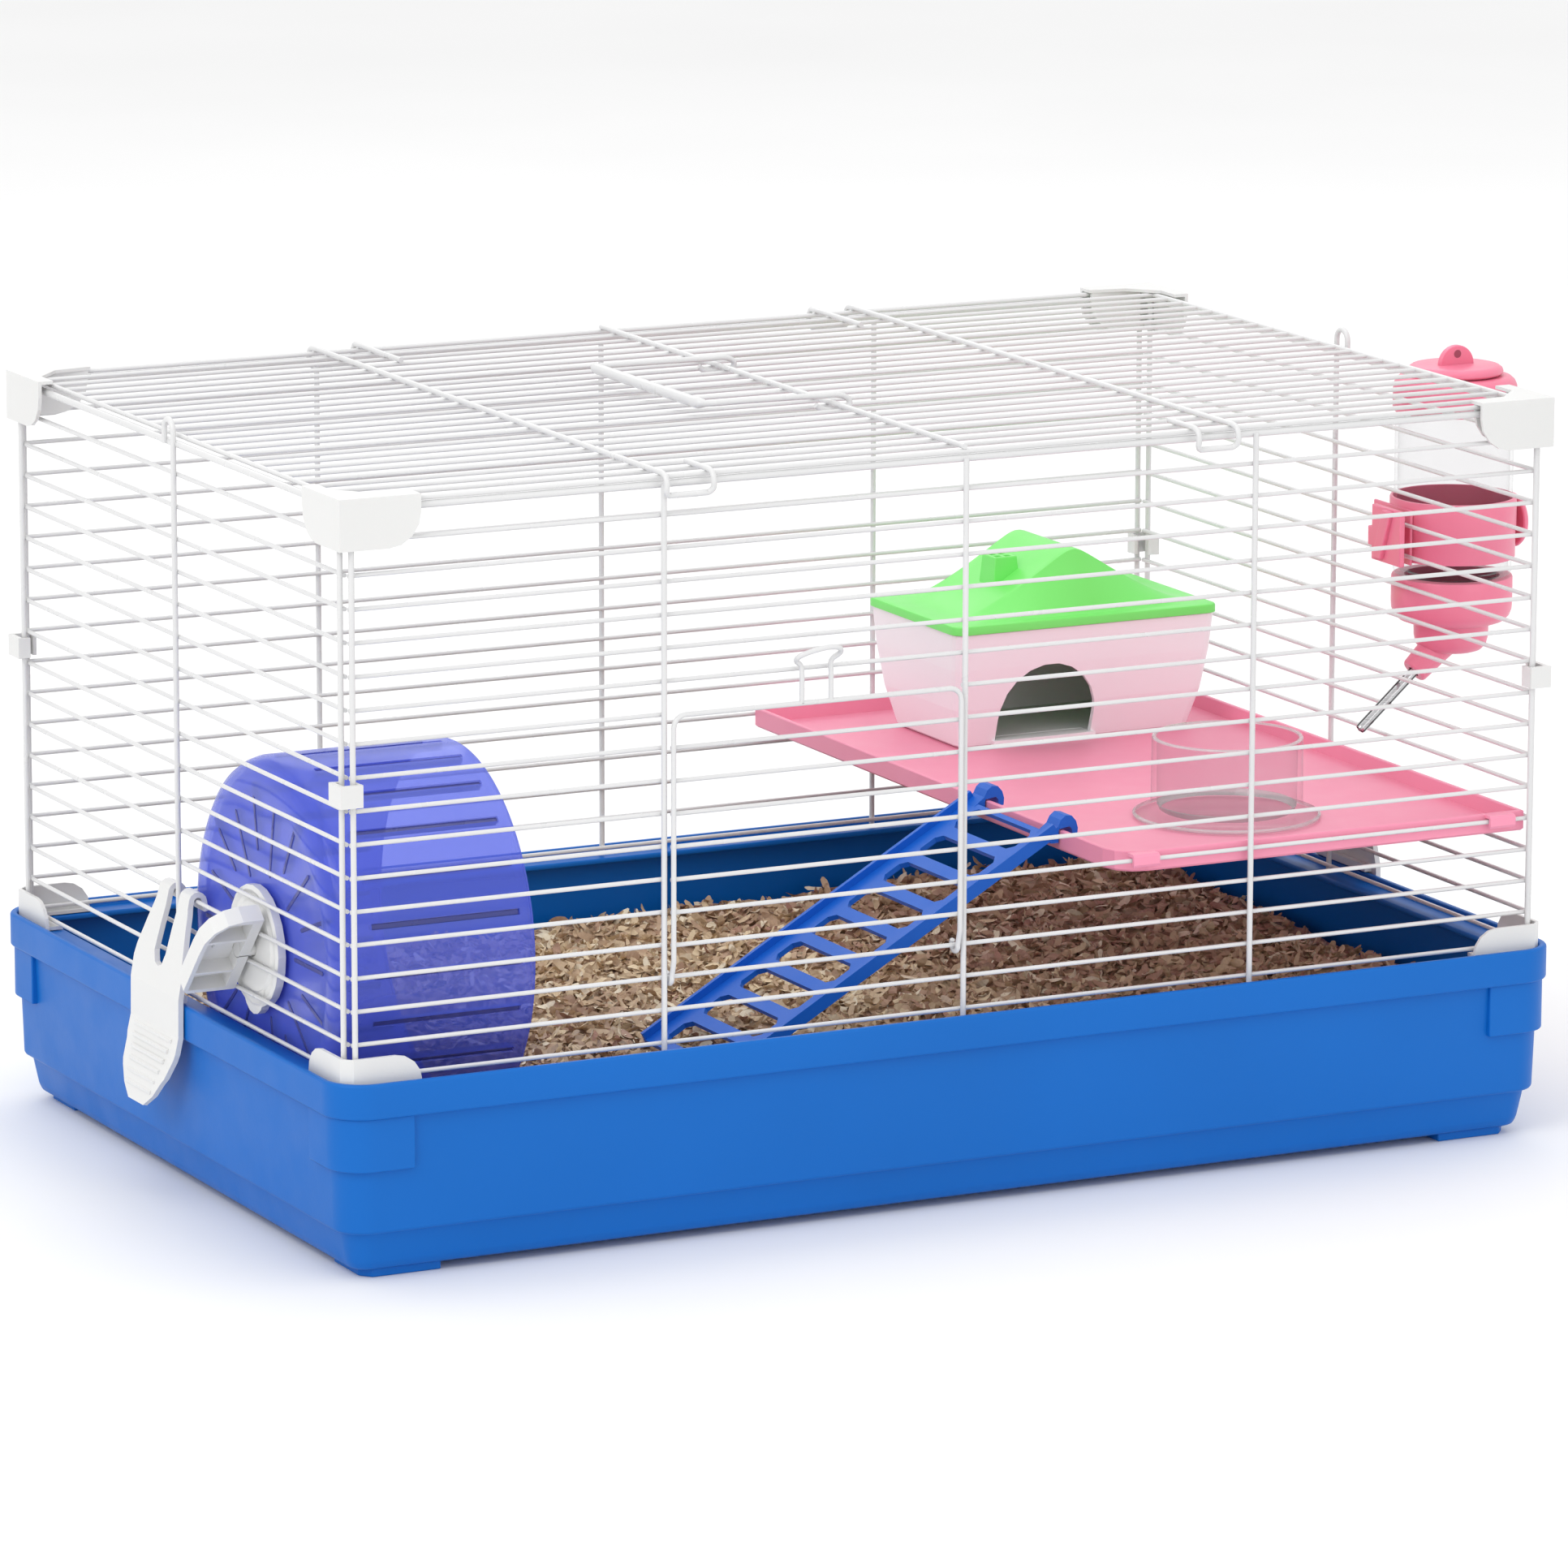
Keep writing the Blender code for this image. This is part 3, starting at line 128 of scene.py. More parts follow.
def plastic(name, colour, rough=0.3, vary=0.05, bump=0.03, grain=900.0, coat=0.15, sss=0.0, alpha_mix=0.0,
            gloss=0.5):
    """Moulded plastic: faint clouding of the colour, uneven gloss and a fine moulded grain.

    alpha_mix is how far it is see-through face on; it grows denser at a glancing view.
    """
    mat, tree, bsdf = nodes_of(name)
    big = noise_node(tree, 9.0, 2.0)
    ramp = ramp_node(tree, big.outputs["Fac"], [(0.3, shade(colour, 1 - vary)),
                                                (0.7, shade(colour, 1 + vary))])
    link(tree, ramp.outputs["Color"], bsdf.inputs["Base Color"])
    mid = noise_node(tree, 60.0, 4.0)
    rr = ramp_node(tree, mid.outputs["Fac"], [(0.3, (rough - 0.05,) * 3), (0.7, (rough + 0.05,) * 3)])
    link(tree, rr.outputs["Color"], bsdf.inputs["Roughness"])
    fine = noise_node(tree, grain, 2.0)
    bp = tree.nodes.new("ShaderNodeBump")
    bp.inputs["Strength"].default_value = bump
    bp.inputs["Distance"].default_value = 0.0004
    link(tree, fine.outputs["Fac"], bp.inputs["Height"])
    link(tree, bp.outputs["Normal"], bsdf.inputs["Normal"])
    bsdf.inputs["Specular IOR Level"].default_value = gloss
    bsdf.inputs["Coat Weight"].default_value = coat
    bsdf.inputs["Coat Roughness"].default_value = 0.12
    if sss:
        bsdf.inputs["Subsurface Weight"].default_value = sss
        bsdf.inputs["Subsurface Radius"].default_value = (0.004, 0.003, 0.003)
        bsdf.inputs["Subsurface Scale"].default_value = 0.6
    if alpha_mix:
        out = tree.nodes["Material Output"]
        mix = tree.nodes.new("ShaderNodeMixShader")
        tr = tree.nodes.new("ShaderNodeBsdfTransparent")
        pale = tuple(0.5 + 0.5 * c for c in colour)
        tint = ramp_node(tree, big.outputs["Fac"], [(0.3, shade(pale, 0.97)), (0.7, pale)])
        link(tree, tint.outputs["Color"], tr.inputs["Color"])
        lw = tree.nodes.new("ShaderNodeLayerWeight")
        lw.inputs["Blend"].default_value = 0.35
        rng = tree.nodes.new("ShaderNodeMapRange")
        rng.inputs["To Min"].default_value = 1.0 - alpha_mix
        rng.inputs["To Max"].default_value = min(1.0, 1.0 - alpha_mix + 0.35)
        link(tree, lw.outputs["Facing"], rng.inputs["Value"])
        link(tree, rng.outputs["Result"], mix.inputs["Fac"])
        link(tree, tr.outputs["BSDF"], mix.inputs[1])
        link(tree, bsdf.outputs["BSDF"], mix.inputs[2])
        link(tree, mix.outputs["Shader"], out.inputs["Surface"])
    return mat


def clear_plastic(name, grey=0.2, least=0.02):
    """Clear polystyrene: see-through face on, turning opaque grey at a glancing view; the grey is painted
    shade standing in for the dark refraction lines at its silhouettes.
    """
    mat, tree, bsdf = nodes_of(name)
    nz = noise_node(tree, 30.0, 3.0)
    ramp = ramp_node(tree, nz.outputs["Fac"], [(0.3, (grey,) * 3), (0.7, (grey + 0.1,) * 3)])
    link(tree, ramp.outputs["Color"], bsdf.inputs["Base Color"])
    rr = ramp_node(tree, nz.outputs["Fac"], [(0.3, (0.03,) * 3), (0.7, (0.07,) * 3)])
    link(tree, rr.outputs["Color"], bsdf.inputs["Roughness"])
    bsdf.inputs["Specular IOR Level"].default_value = 0.9
    mix = tree.nodes.new("ShaderNodeMixShader")
    tr = tree.nodes.new("ShaderNodeBsdfTransparent")
    tint = ramp_node(tree, nz.outputs["Fac"], [(0.3, (0.957, 0.955, 0.957)), (0.7, (0.978, 0.976, 0.978))])
    link(tree, tint.outputs["Color"], tr.inputs["Color"])
    # painted edge shade: opaque grey where the surface turns away from the view
    lw = tree.nodes.new("ShaderNodeLayerWeight")
    lw.inputs["Blend"].default_value = 0.3
    power = tree.nodes.new("ShaderNodeMath")
    power.operation = "POWER"
    power.inputs[1].default_value = 5.0
    rng = tree.nodes.new("ShaderNodeMapRange")
    rng.inputs["To Min"].default_value = least
    rng.inputs["To Max"].default_value = 1.0
    link(tree, lw.outputs["Facing"], power.inputs[0])
    link(tree, power.outputs["Value"], rng.inputs["Value"])
    link(tree, rng.outputs["Result"], mix.inputs["Fac"])
    link(tree, tr.outputs["BSDF"], mix.inputs[1])
    link(tree, bsdf.outputs["BSDF"], mix.inputs[2])
    link(tree, mix.outputs["Shader"], tree.nodes["Material Output"].inputs["Surface"])
    return mat


def metal(name, colour, rough):
    """Polished steel: fine drawn streaks, and a painted reflection in the base colour, set by the view angle:
    a bright core and a dark line along the tube's side.
    """
    mat, tree, bsdf = nodes_of(name)
    bsdf.inputs["Metallic"].default_value = 1.0
    nz = noise_node(tree, 400.0, 3.0, stretch=(1, 1, 8))
    ramp = ramp_node(tree, nz.outputs["Fac"], [(0.3, shade(colour, 0.7)), (0.65, colour)])
    # painted reflection: white core, dark line, then grey at the silhouette, multiplied into the streaked
    # colour
    lw = tree.nodes.new("ShaderNodeLayerWeight")
    lw.inputs["Blend"].default_value = 0.5
    painted_reflection_band = ramp_node(tree, lw.outputs["Facing"], [
        (0.0, (1.0,) * 3), (0.22, (0.95,) * 3), (0.34, (0.08,) * 3), (0.5, (0.06,) * 3), (0.62, (0.9,) * 3),
        (1.0, (0.5,) * 3)])
    both = tree.nodes.new("ShaderNodeMix")
    both.data_type = "RGBA"
    both.blend_type = "MULTIPLY"
    both.inputs["Factor"].default_value = 1.0
    link(tree, ramp.outputs["Color"], both.inputs["A"])
    link(tree, painted_reflection_band.outputs["Color"], both.inputs["B"])
    link(tree, both.outputs["Result"], bsdf.inputs["Base Color"])
    rr = ramp_node(tree, nz.outputs["Fac"], [(0.2, (rough * 0.8,) * 3), (0.8, (rough * 1.25,) * 3)])
    link(tree, rr.outputs["Color"], bsdf.inputs["Roughness"])
    return mat


def shavings_material(name):
    """Each flake has its own tone, from cream to reddish brown, with fibres along it."""
    mat, tree, bsdf = nodes_of(name)
    att = tree.nodes.new("ShaderNodeAttribute")
    att.attribute_name = "tone"
    ramp = ramp_node(tree, att.outputs["Fac"], [
        (0.0, (0.78, 0.63, 0.42)), (0.3, (0.62, 0.46, 0.30)), (0.55, (0.50, 0.34, 0.23)),
        (0.85, (0.43, 0.24, 0.18)), (1.0, (0.86, 0.76, 0.58))])
    fib = noise_node(tree, 700.0, 3.0, stretch=(1, 0.3, 1))
    mixn = tree.nodes.new("ShaderNodeMix")
    mixn.data_type = "RGBA"
    mixn.blend_type = "MULTIPLY"
    fr = ramp_node(tree, fib.outputs["Fac"], [(0.25, (0.72, 0.7, 0.68)), (0.75, (1.0, 1.0, 1.0))])
    mixn.inputs["Factor"].default_value = 0.7
    link(tree, ramp.outputs["Color"], mixn.inputs["A"])
    link(tree, fr.outputs["Color"], mixn.inputs["B"])
    link(tree, mixn.outputs["Result"], bsdf.inputs["Base Color"])
    rr = ramp_node(tree, fib.outputs["Fac"], [(0.2, (0.6,) * 3), (0.8, (0.85,) * 3)])
    link(tree, rr.outputs["Color"], bsdf.inputs["Roughness"])
    bp = tree.nodes.new("ShaderNodeBump")
    bp.inputs["Strength"].default_value = 0.3
    bp.inputs["Distance"].default_value = 0.0003
    link(tree, fib.outputs["Fac"], bp.inputs["Height"])
    link(tree, bp.outputs["Normal"], bsdf.inputs["Normal"])
    return mat


M = {
    "wire": plastic("wire_enamel", (0.68, 0.68, 0.68), 0.3, 0.03, 0.05, 500.0, 0.2),
    "white": plastic("white_moulding", (0.71, 0.71, 0.70), 0.4, 0.02, 0.05, 900.0, 0.08, 0.05),
    "tray": plastic("tray_blue", (0.002, 0.130, 0.50), 0.42, 0.04, 0.05, 700.0, 0.0, gloss=0.22),
    "ladder": plastic("ladder_blue", (0.006, 0.115, 0.56), 0.42, 0.04, 0.04, 900.0, 0.0, gloss=0.3),
    "pink": plastic("shelf_pink", (0.86, 0.30, 0.43), 0.48, 0.03, 0.04, 900.0, 0.0, 0.05, gloss=0.35),
    "bottle_pink": plastic("bottle_pink", (0.80, 0.20, 0.31), 0.4, 0.04, 0.03, 900.0, 0.1, 0.3),
    "wheel": plastic("wheel_violet", (0.14, 0.20, 0.84), 0.2, 0.05, 0.02, 500.0, 0.3, alpha_mix=0.64),
    # dark translucent strips: painted shade in the wheel's slots and slits
    "slot": plastic("wheel_slot_shade", (0.07, 0.08, 0.34), 0.3, 0.08, 0.02, 500.0, 0.2, alpha_mix=0.45),
    "house": plastic("house_white", (0.92, 0.90, 0.92), 0.48, 0.02, 0.03, 900.0, 0.0, 0.06, gloss=0.35),
    "lid": plastic("lid_green", (0.19, 0.80, 0.15), 0.42, 0.03, 0.03, 900.0, 0.08, 0.05),
    "clear": clear_plastic("clear_shell"),
    # pale and half opaque: painted highlights for the bowl's edge rings
    "edge": clear_plastic("clear_edge_highlights", 0.72, 0.42),
    "steel": metal("spout_steel", (0.62, 0.62, 0.63), 0.16),
    "litter": shavings_material("wood_shavings"),
}


# ---------------------------------------------------------------- building helpers (mm in, metres out)
def soften(obj, width):
    """Bevel the hard edges, width in mm."""
    mod = obj.modifiers.new("edge", "BEVEL")
    mod.width = width * 0.001
    mod.segments = 2
    mod.limit_method = "ANGLE"
    mod.angle_limit = math.radians(32)


def finish_mesh(name, bm, mat, smooth, body, bevel=0.0, nodes=()):
    """Turn a bmesh into a visible piece that rides on a body and takes the place of the CAD nodes."""
    bmesh.ops.remove_doubles(bm, verts=bm.verts, dist=1e-4)
    bmesh.ops.recalc_face_normals(bm, faces=bm.faces)
    for v in bm.verts:
        v.co = world(v.co)
    mesh = bpy.data.meshes.new(name)
    bm.to_mesh(mesh)
    bm.free()
    obj = bpy.data.objects.new(name, mesh)
    bpy.context.scene.collection.objects.link(obj)
    mesh.materials.append(mat)
    if bevel:
        soften(obj, bevel)
    for p in mesh.polygons:
        p.use_smooth = True
    mesh.set_sharp_from_angle(angle=math.radians(smooth))
    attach(obj, body)
    if nodes:
        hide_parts(*nodes)


def loft(bm, rings, close=False):
    """Skin a row of rings; the ends are capped unless the last ring joins the first."""
    loops = [[bm.verts.new(p) for p in ring] for ring in rings]
    n = len(loops[0])
    pairs = list(zip(loops, loops[1:]))
    if close:
        pairs.append((loops[-1], loops[0]))
    for a, b in pairs:
        for i in range(n):
            j = (i + 1) % n
            bm.faces.new((a[i], a[j], b[j], b[i]))
    if not close:
        bm.faces.new(loops[0])
        bm.faces.new(reversed(loops[-1]))


def box(bm, x0, x1, y0, y1, z0, z1):
    loft(bm, [[(x0, y0, z), (x1, y0, z), (x1, y1, z), (x0, y1, z)] for z in (z0, z1)])


def prism(bm, outline, axis, low, high):
    """Push a flat outline along an axis; (u, v) are the other two axes in order."""
    place = {"X": lambda u, v, w: (w, u, v), "Y": lambda u, v, w: (u, w, v), "Z": lambda u, v, w: (u, v, w)}
    loft(bm, [[place[axis](u, v, w) for u, v in outline] for w in (low, high)])


def lathe(bm, profile, centre, axis=(0, 0, 1), steps=96):
    """Turn a (radius, height) profile round an axis; a profile that starts on the axis is capped."""
    axis = Vector(axis).normalized()
    turn = Vector((0, 0, 1)).rotation_difference(axis).to_matrix()
    centre = Vector(centre)
    closed = profile[0][0] > 0 and profile[-1][0] > 0
    angles = [2 * math.pi * k / steps for k in range(steps)]
    rings = [[centre + turn @ Vector((r * math.cos(a), r * math.sin(a), h)) for a in angles]
             for r, h in profile if r > 0]
    loft(bm, rings, close=closed)


def arc(cx, cy, r, a0, a1, steps):
    """Points on a circle between two angles in degrees."""
    return [(cx + r * math.cos(math.radians(a0 + (a1 - a0) * k / steps)),
             cy + r * math.sin(math.radians(a0 + (a1 - a0) * k / steps))) for k in range(steps + 1)]


def rounded_rect(hx, hy, r, z):
    """A level ring: a rectangle of half sizes hx, hy with round corners."""
    ring, per = [], 12
    for sx, sy, start in ((1, 1, 0), (-1, 1, 90), (-1, -1, 180), (1, -1, 270)):
        for k in range(per):
            a = math.radians(start + 90 * k / (per - 1))
            ring.append((sx * (hx - r) + r * math.cos(a), sy * (hy - r) + r * math.sin(a), z))
    return ring


def smooth_path(points, cuts):
    """Round an open path's corners with Catmull-Rom interpolation."""
    out, last = [], len(points) - 1
    for i in range(last):
        p0, p1 = Vector(points[max(i - 1, 0)]), Vector(points[i])
        p2, p3 = Vector(points[i + 1]), Vector(points[min(i + 2, last)])
        for k in range(cuts):
            t = k / cuts
            out.append(0.5 * ((2 * p1) + (p2 - p0) * t + (2 * p0 - 5 * p1 + 4 * p2 - p3) * t * t
                              + (3 * p1 - p0 - 3 * p2 + p3) * t ** 3))
    out.append(Vector(points[-1]))
    return out


def wires(name, runs, mat, body, nodes, res=3):
    """Round wires as one curve: (points, radius) or (points, [radius per point]); a third item closes it."""
    curve = bpy.data.curves.new(name, "CURVE")
    curve.dimensions = "3D"
    curve.bevel_depth = 0.001
    curve.bevel_resolution = res
    curve.use_fill_caps = True
    for run in runs:
        pts, rad = run[0], run[1]
        sp = curve.splines.new("POLY")
        sp.points.add(len(pts) - 1)
        for i, (q, p) in enumerate(zip(sp.points, pts)):
            q.co = (*world(p), 1.0)
            q.radius = rad[i] if isinstance(rad, (list, tuple)) else rad
        sp.use_cyclic_u = len(run) > 2
        sp.use_smooth = True
    obj = bpy.data.objects.new(name, curve)
    bpy.context.scene.collection.objects.link(obj)
    curve.materials.append(mat)
    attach(obj, body)
    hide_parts(*nodes)


def keep(name, mat, bevel):
    """A CAD node that is shown as it is, with its edges softened."""
    obj = frame["nodes"][name]
    obj.data.materials.clear()
    obj.data.materials.append(mat)
    soften(obj, bevel)


# ---------------------------------------------------------------- wire cage
def welded(y, door_rows=()):
    """A long panel: top rail, 17 rows of wire and the upright posts. The door's rows stop at its opening."""
    runs = [([(-WIRE_X, y, RAIL_Z), (WIRE_X, y, RAIL_Z)], R_RAIL)]
    for row in range(1, 18):
        z, spans = row_z(row), [(-WIRE_X, WIRE_X)]
        if row in door_rows:
            spans = [(-WIRE_X, POSTS[0] + 0.5), (POSTS[1] - 0.5, WIRE_X)]
        runs += [([(a, y, z), (b, y, z)], R_THIN) for a, b in spans]
    s = 1 if y > 0 else -1
    for x in (-235.0, 235.0):
        runs.append(([(x, y + s * 1.55, CORNER_FOOT), (x, y + s * 1.55, POST_TOP)], R_POST))
    for x in POSTS:
        runs.append(([(x, y + s * 1.6, POST_FOOT), (x, y + s * 1.6, POST_TOP)], R_POST))
    return runs


wires("front_wires", welded(-HALF_W, range(7, 15)), M["wire"], "cage", ["front_panel"])
wires("back_wires", welded(HALF_W), M["wire"], "cage", ["back_panel"])

for side, label in ((-1, "left"), (1, "right")):
    x, px = side * END_X, side * (END_X + 1.6)
    runs = [([(x, -145.4, RAIL_Z), (x, 145.4, RAIL_Z)], R_RAIL)]
    runs += [([(x, -145.5, row_z(r)), (x, 145.5, row_z(r))], R_THIN) for r in range(1, 18)]
    runs += [([(px, s * 145.0, CORNER_FOOT), (px, s * 145.0, POST_TOP)], R_POST) for s in (-1, 1)]
    back = -side * 8.0
    loop = [(px, 0.0, POST_FOOT), (px, 0.0, 272.9)]
    loop += [(px, back / 2 - math.cos(math.radians(a)) * back / 2, 272.9 + 4.0 * math.sin(math.radians(a)))
             for a in range(15, 180, 15)]
    loop += [(px, back, 272.9), (px, back, 267.9)]
    runs.append((loop, R_POST))
    wires(label + "_wires", runs, M["wire"], "cage", [label + "_end_panel"])

roof_ys = [-HALF_W + 2 * HALF_W * k / ROOF_GAPS for k in range(1, ROOF_GAPS)]
runs = [([(-234.4, y, Z_ROOF), (234.4, y, Z_ROOF)], R_THIN) for y in roof_ys]
rim, RIM_X, RIM_R = [], 233.8, 2.2
for sx, sy in ((-1, -1), (1, -1), (1, 1), (-1, 1)):
    cx, cy = sx * (RIM_X - RIM_R), sy * (HALF_W - RIM_R)
    quarter = [(cx + sx * RIM_R * math.sin(math.radians(a)),
                cy + sy * RIM_R * math.cos(math.radians(a)), Z_ROOF) for a in (0, 30, 60, 90)]
    rim += quarter if sx * sy < 0 else quarter[::-1]
runs.append((rim, R_THIN + 0.1, True))
runs.append(([(CROSS_X[1], -148.0, CROSS_Z), (CROSS_X[1], 148.0, CROSS_Z)], R_POST))
HOOK = [(HALF_W + 2.0, 0.0), (HALF_W + 5.0, -1.0), (HALF_W + 6.2, -3.4), (HALF_W + 5.7, -6.0)]
for x, step in ((CROSS_X[0], 18.0), (CROSS_X[2], -16.0)):
    path = [(x + step, HALF_W - 38.0, CROSS_Z), (x + step, HALF_W - 20.0, CROSS_Z)]
    for s in (1, -1):
        near, far = (x + step, x) if s == 1 else (x, x + step)
        u = 1 if far > near else -1
        outer_y, inner_y = s * (HALF_W + 4.7), s * (HALF_W + 4.6)
        path += [(near, s * y, CROSS_Z + z) for y, z in HOOK]
        path += [(near + u * 1.2, outer_y, CROSS_Z - 7.5), (near + u * 3.4, inner_y, CROSS_Z - 7.7)]
        path += [(far - u * 3.4, inner_y, CROSS_Z - 7.7), (far - u * 1.2, outer_y, CROSS_Z - 7.5)]
        path += [(far, s * y, CROSS_Z + z) for y, z in reversed(HOOK)]
        if s == 1:
            front = smooth_path(path + [(far, HALF_W - 4.0, CROSS_Z)], 4)
            path = [(far, -HALF_W + 4.0, CROSS_Z)]
    path += [(x + step, -HALF_W + 4.0, CROSS_Z), (x + step, -HALF_W + 16.0, CROSS_Z)]
    runs.append((front + smooth_path(path, 4), R_POST))
wires("roof_wires", runs, M["wire"], "cage", ["roof_panel"])

# ---------------------------------------------------------------- front door
HINGE_Y, HINGE_Z, DOOR_TOP = -HALF_W, row_z(15), row_z(7)
curl = [(-151.15, 104.0), (-151.15, 99.5), (-150.3, 96.5)] + arc(HINGE_Y, HINGE_Z, 2.3, 165, 400, 14)
BEND = 4.5
top_l = [(DOOR_X[0], DOOR_Y, DOOR_TOP - BEND)]
top_l += [(DOOR_X[0] + BEND - BEND * math.cos(math.radians(a)), DOOR_Y,
           DOOR_TOP - BEND + BEND * math.sin(math.radians(a))) for a in (22, 45, 68, 90)]
top_r = [(DOOR_X[0] + DOOR_X[1] - x, y, z) for x, y, z in reversed(top_l)]
outline = [(DOOR_X[0], y, z) for y, z in reversed(curl)] + top_l
outline += top_r + [(DOOR_X[1], y, z) for y, z in curl]
latch = [(-64.6, 0.0, DOOR_TOP - 0.2), (-64.6, 0.0, 192.0), (-64.6, 0.0, 197.5), (-64.9, 0.3, 200.6),
         (-67.0, -0.3, 202.6), (-66.2, -2.2, 204.6), (-61.5, -3.8, 206.4), (-56.0, -4.2, 207.2),
         (-51.9, -3.8, 206.6), (-50.7, -2.2, 204.6), (-52.6, -0.3, 202.4), (-53.2, 0.3, 200.6),
         (-53.2, 0.0, 197.5), (-53.2, 0.0, 192.0), (-53.2, 0.0, DOOR_TOP - 0.2)]
latch = [(x, DOOR_Y + y, z) for x, y, z in latch]
runs = [(outline, R_DOOR), (smooth_path(latch, 5), R_DOOR)]
runs += [([(DOOR_X[0] - 0.3, DOOR_Y + 1.45, row_z(r)), (DOOR_X[1] + 0.3, DOOR_Y + 1.45, row_z(r))], R_THIN)
         for r in range(8, 15)]
wires("door_wires", runs, M["wire"], "door", ["front_door"])

# ---------------------------------------------------------------- carry handle
EYE_Y, GRIP_X = 2 * HALF_W / ROOF_GAPS * 4, -52.0
EYE = [(-14.0, 3.2), (-5.0, 3.0), (1.5, 3.0), (5.2, 1.7), (6.2, 0.0), (5.0, -1.9), (0.0, -2.4), (-5.5, -1.6),
       (-8.0, 0.0)]


def eye(y, s):
    """The wire's end curls over the middle cross wire and back under it."""
    return [(CROSS_X[1] + u, y + s * 0.22 * k, CROSS_Z + v) for k, (u, v) in enumerate(EYE)]


z = CROSS_Z + 3.4
far_end, near_end = list(reversed(eye(EYE_Y - 1.0, 1))), eye(-EYE_Y + 1.0, -1)
far_corner = [(GRIP_X + 16, EYE_Y - 1.0, z), (GRIP_X + 4.6, EYE_Y - 1.2, z), (GRIP_X + 1.3, EYE_Y - 2.9, z),
              (GRIP_X + 0.1, EYE_Y - 6, z)]
near_corner = [(x, -y, height) for x, y, height in reversed(far_corner)]
grip = [(GRIP_X, EYE_Y - 16, z), (GRIP_X, -EYE_Y + 16, z)]
path = smooth_path(far_end + far_corner + grip + near_corner + near_end, 4)
thick = [1.1 + 0.95 * max(0.0, min(1.0, (GRIP_X + 2.5 - p[0]) / 2.2)) for p in path]
wires("handle_wire", [(path, thick)], M["wire"], "handle", ["carry_handle"], res=4)


# ---------------------------------------------------------------- tray
def rounded_profile(points, size):
    """Give each corner of a profile a small round so the moulding catches light."""
    out, n = [], len(points)
    for i, p in enumerate(points):
        a, b, c = Vector(points[i - 1]), Vector(p), Vector(points[(i + 1) % n])
        if i in (0, n - 1):
            out.append(tuple(b))
            continue
        cut = min(size, (a - b).length * 0.4, (c - b).length * 0.4)
        p0, p2 = b + (a - b).normalized() * cut, b + (c - b).normalized() * cut
        for t in (0.0, 0.33, 0.67, 1.0):
            out.append(tuple((1 - t) ** 2 * p0 + 2 * t * (1 - t) * b + t * t * p2))
    return out


profile = [(-8.6, 0.6), (-6.6, 1.4), (-5.4, 4.0), (-3.2, 15.0), (-0.9, 15.3), (-0.4, 16.2), (0.9, 57.0),
           (3.4, 57.0), (3.8, 57.6), (3.8, 68.8), (3.2, TRAY_TOP), (1.8, TRAY_TOP), (1.3, 69.0), (1.3, 66.5),
           (-9.0, 66.5), (-9.0, 64.3), (-1.8, 64.3), (-2.6, 17.0), (-5.4, 14.4), (-7.4, 6.0), (-9.4, 4.5)]
bm = bmesh.new()
loft(bm, [rounded_rect(TRAY_HX + d, TRAY_HY + d, TRAY_R + 0.8 * d, h)
          for d, h in rounded_profile(profile, 0.8)])
finish_mesh("tray_shell", bm, M["tray"], 40, body="tray", nodes=["tray"])
bm = bmesh.new()
for sx in (-1, 1):
    for sy in (-1, 1):
        outer = [(TRAY_HX - 25.6, TRAY_HY + 2.4)]
        outer += arc(TRAY_HX - 11.1, TRAY_HY - 11.1, 13.5, 0, 90, 12)[::-1]
        outer += [(TRAY_HX + 2.4, TRAY_HY - 25.6)]
        inner = [(TRAY_HX - 0.6, TRAY_HY - 25.6)] + arc(TRAY_HX - 12.0, TRAY_HY - 12.0, 11.4, 0, 90, 12)
        inner += [(TRAY_HX - 25.6, TRAY_HY - 0.6)]
        prism(bm, [(sx * x, sy * y) for x, y in outer + inner], "Z", 38.0, 57.2)
        pad = [(14, 8.8), (40, 8.8), (40, 22), (22, 22), (22, 34), (10.4, 34), (10.4, 13)]
        prism(bm, [(sx * (TRAY_HX - a), sy * (TRAY_HY - b)) for a, b in pad], "Z", -2.3, 1.2)
finish_mesh("tray_corner_plates", bm, M["tray"], 30, bevel=0.5, body="tray")


# ---------------------------------------------------------------- litter
def litter_height(x, y):
    """Height of the shavings: deeper to the right, hollowed at the wheel and at the ladder's foot."""
    wave = 1.2 * math.sin(x * 0.045 + 1.0) * math.cos(y * 0.05) + 0.8 * math.sin(x * 0.11 + y * 0.07)
    base = 41.0 + 4.0 / (1 + math.exp(-(x - 40.0) / 35.0)) + 2.0 * y / 143.0 + wave
    near_wheel = 1 / (1 + math.exp((x + 138.0) / 5.0)) / (1 + math.exp((abs(y - WHEEL_Y) - 74.0) / 5.0))
    near_foot = math.exp(-((x + 76.0) / 26.0) ** 2 - ((y - LADDER_Y) / 46.0) ** 4)
    base = base * (1 - near_foot) + 36.5 * near_foot
    return base * (1 - near_wheel) + 27.5 * near_wheel


def lumps(x, y):
    return 1.6 * noise.noise(Vector((x * 0.09, y * 0.09, 3.1)))


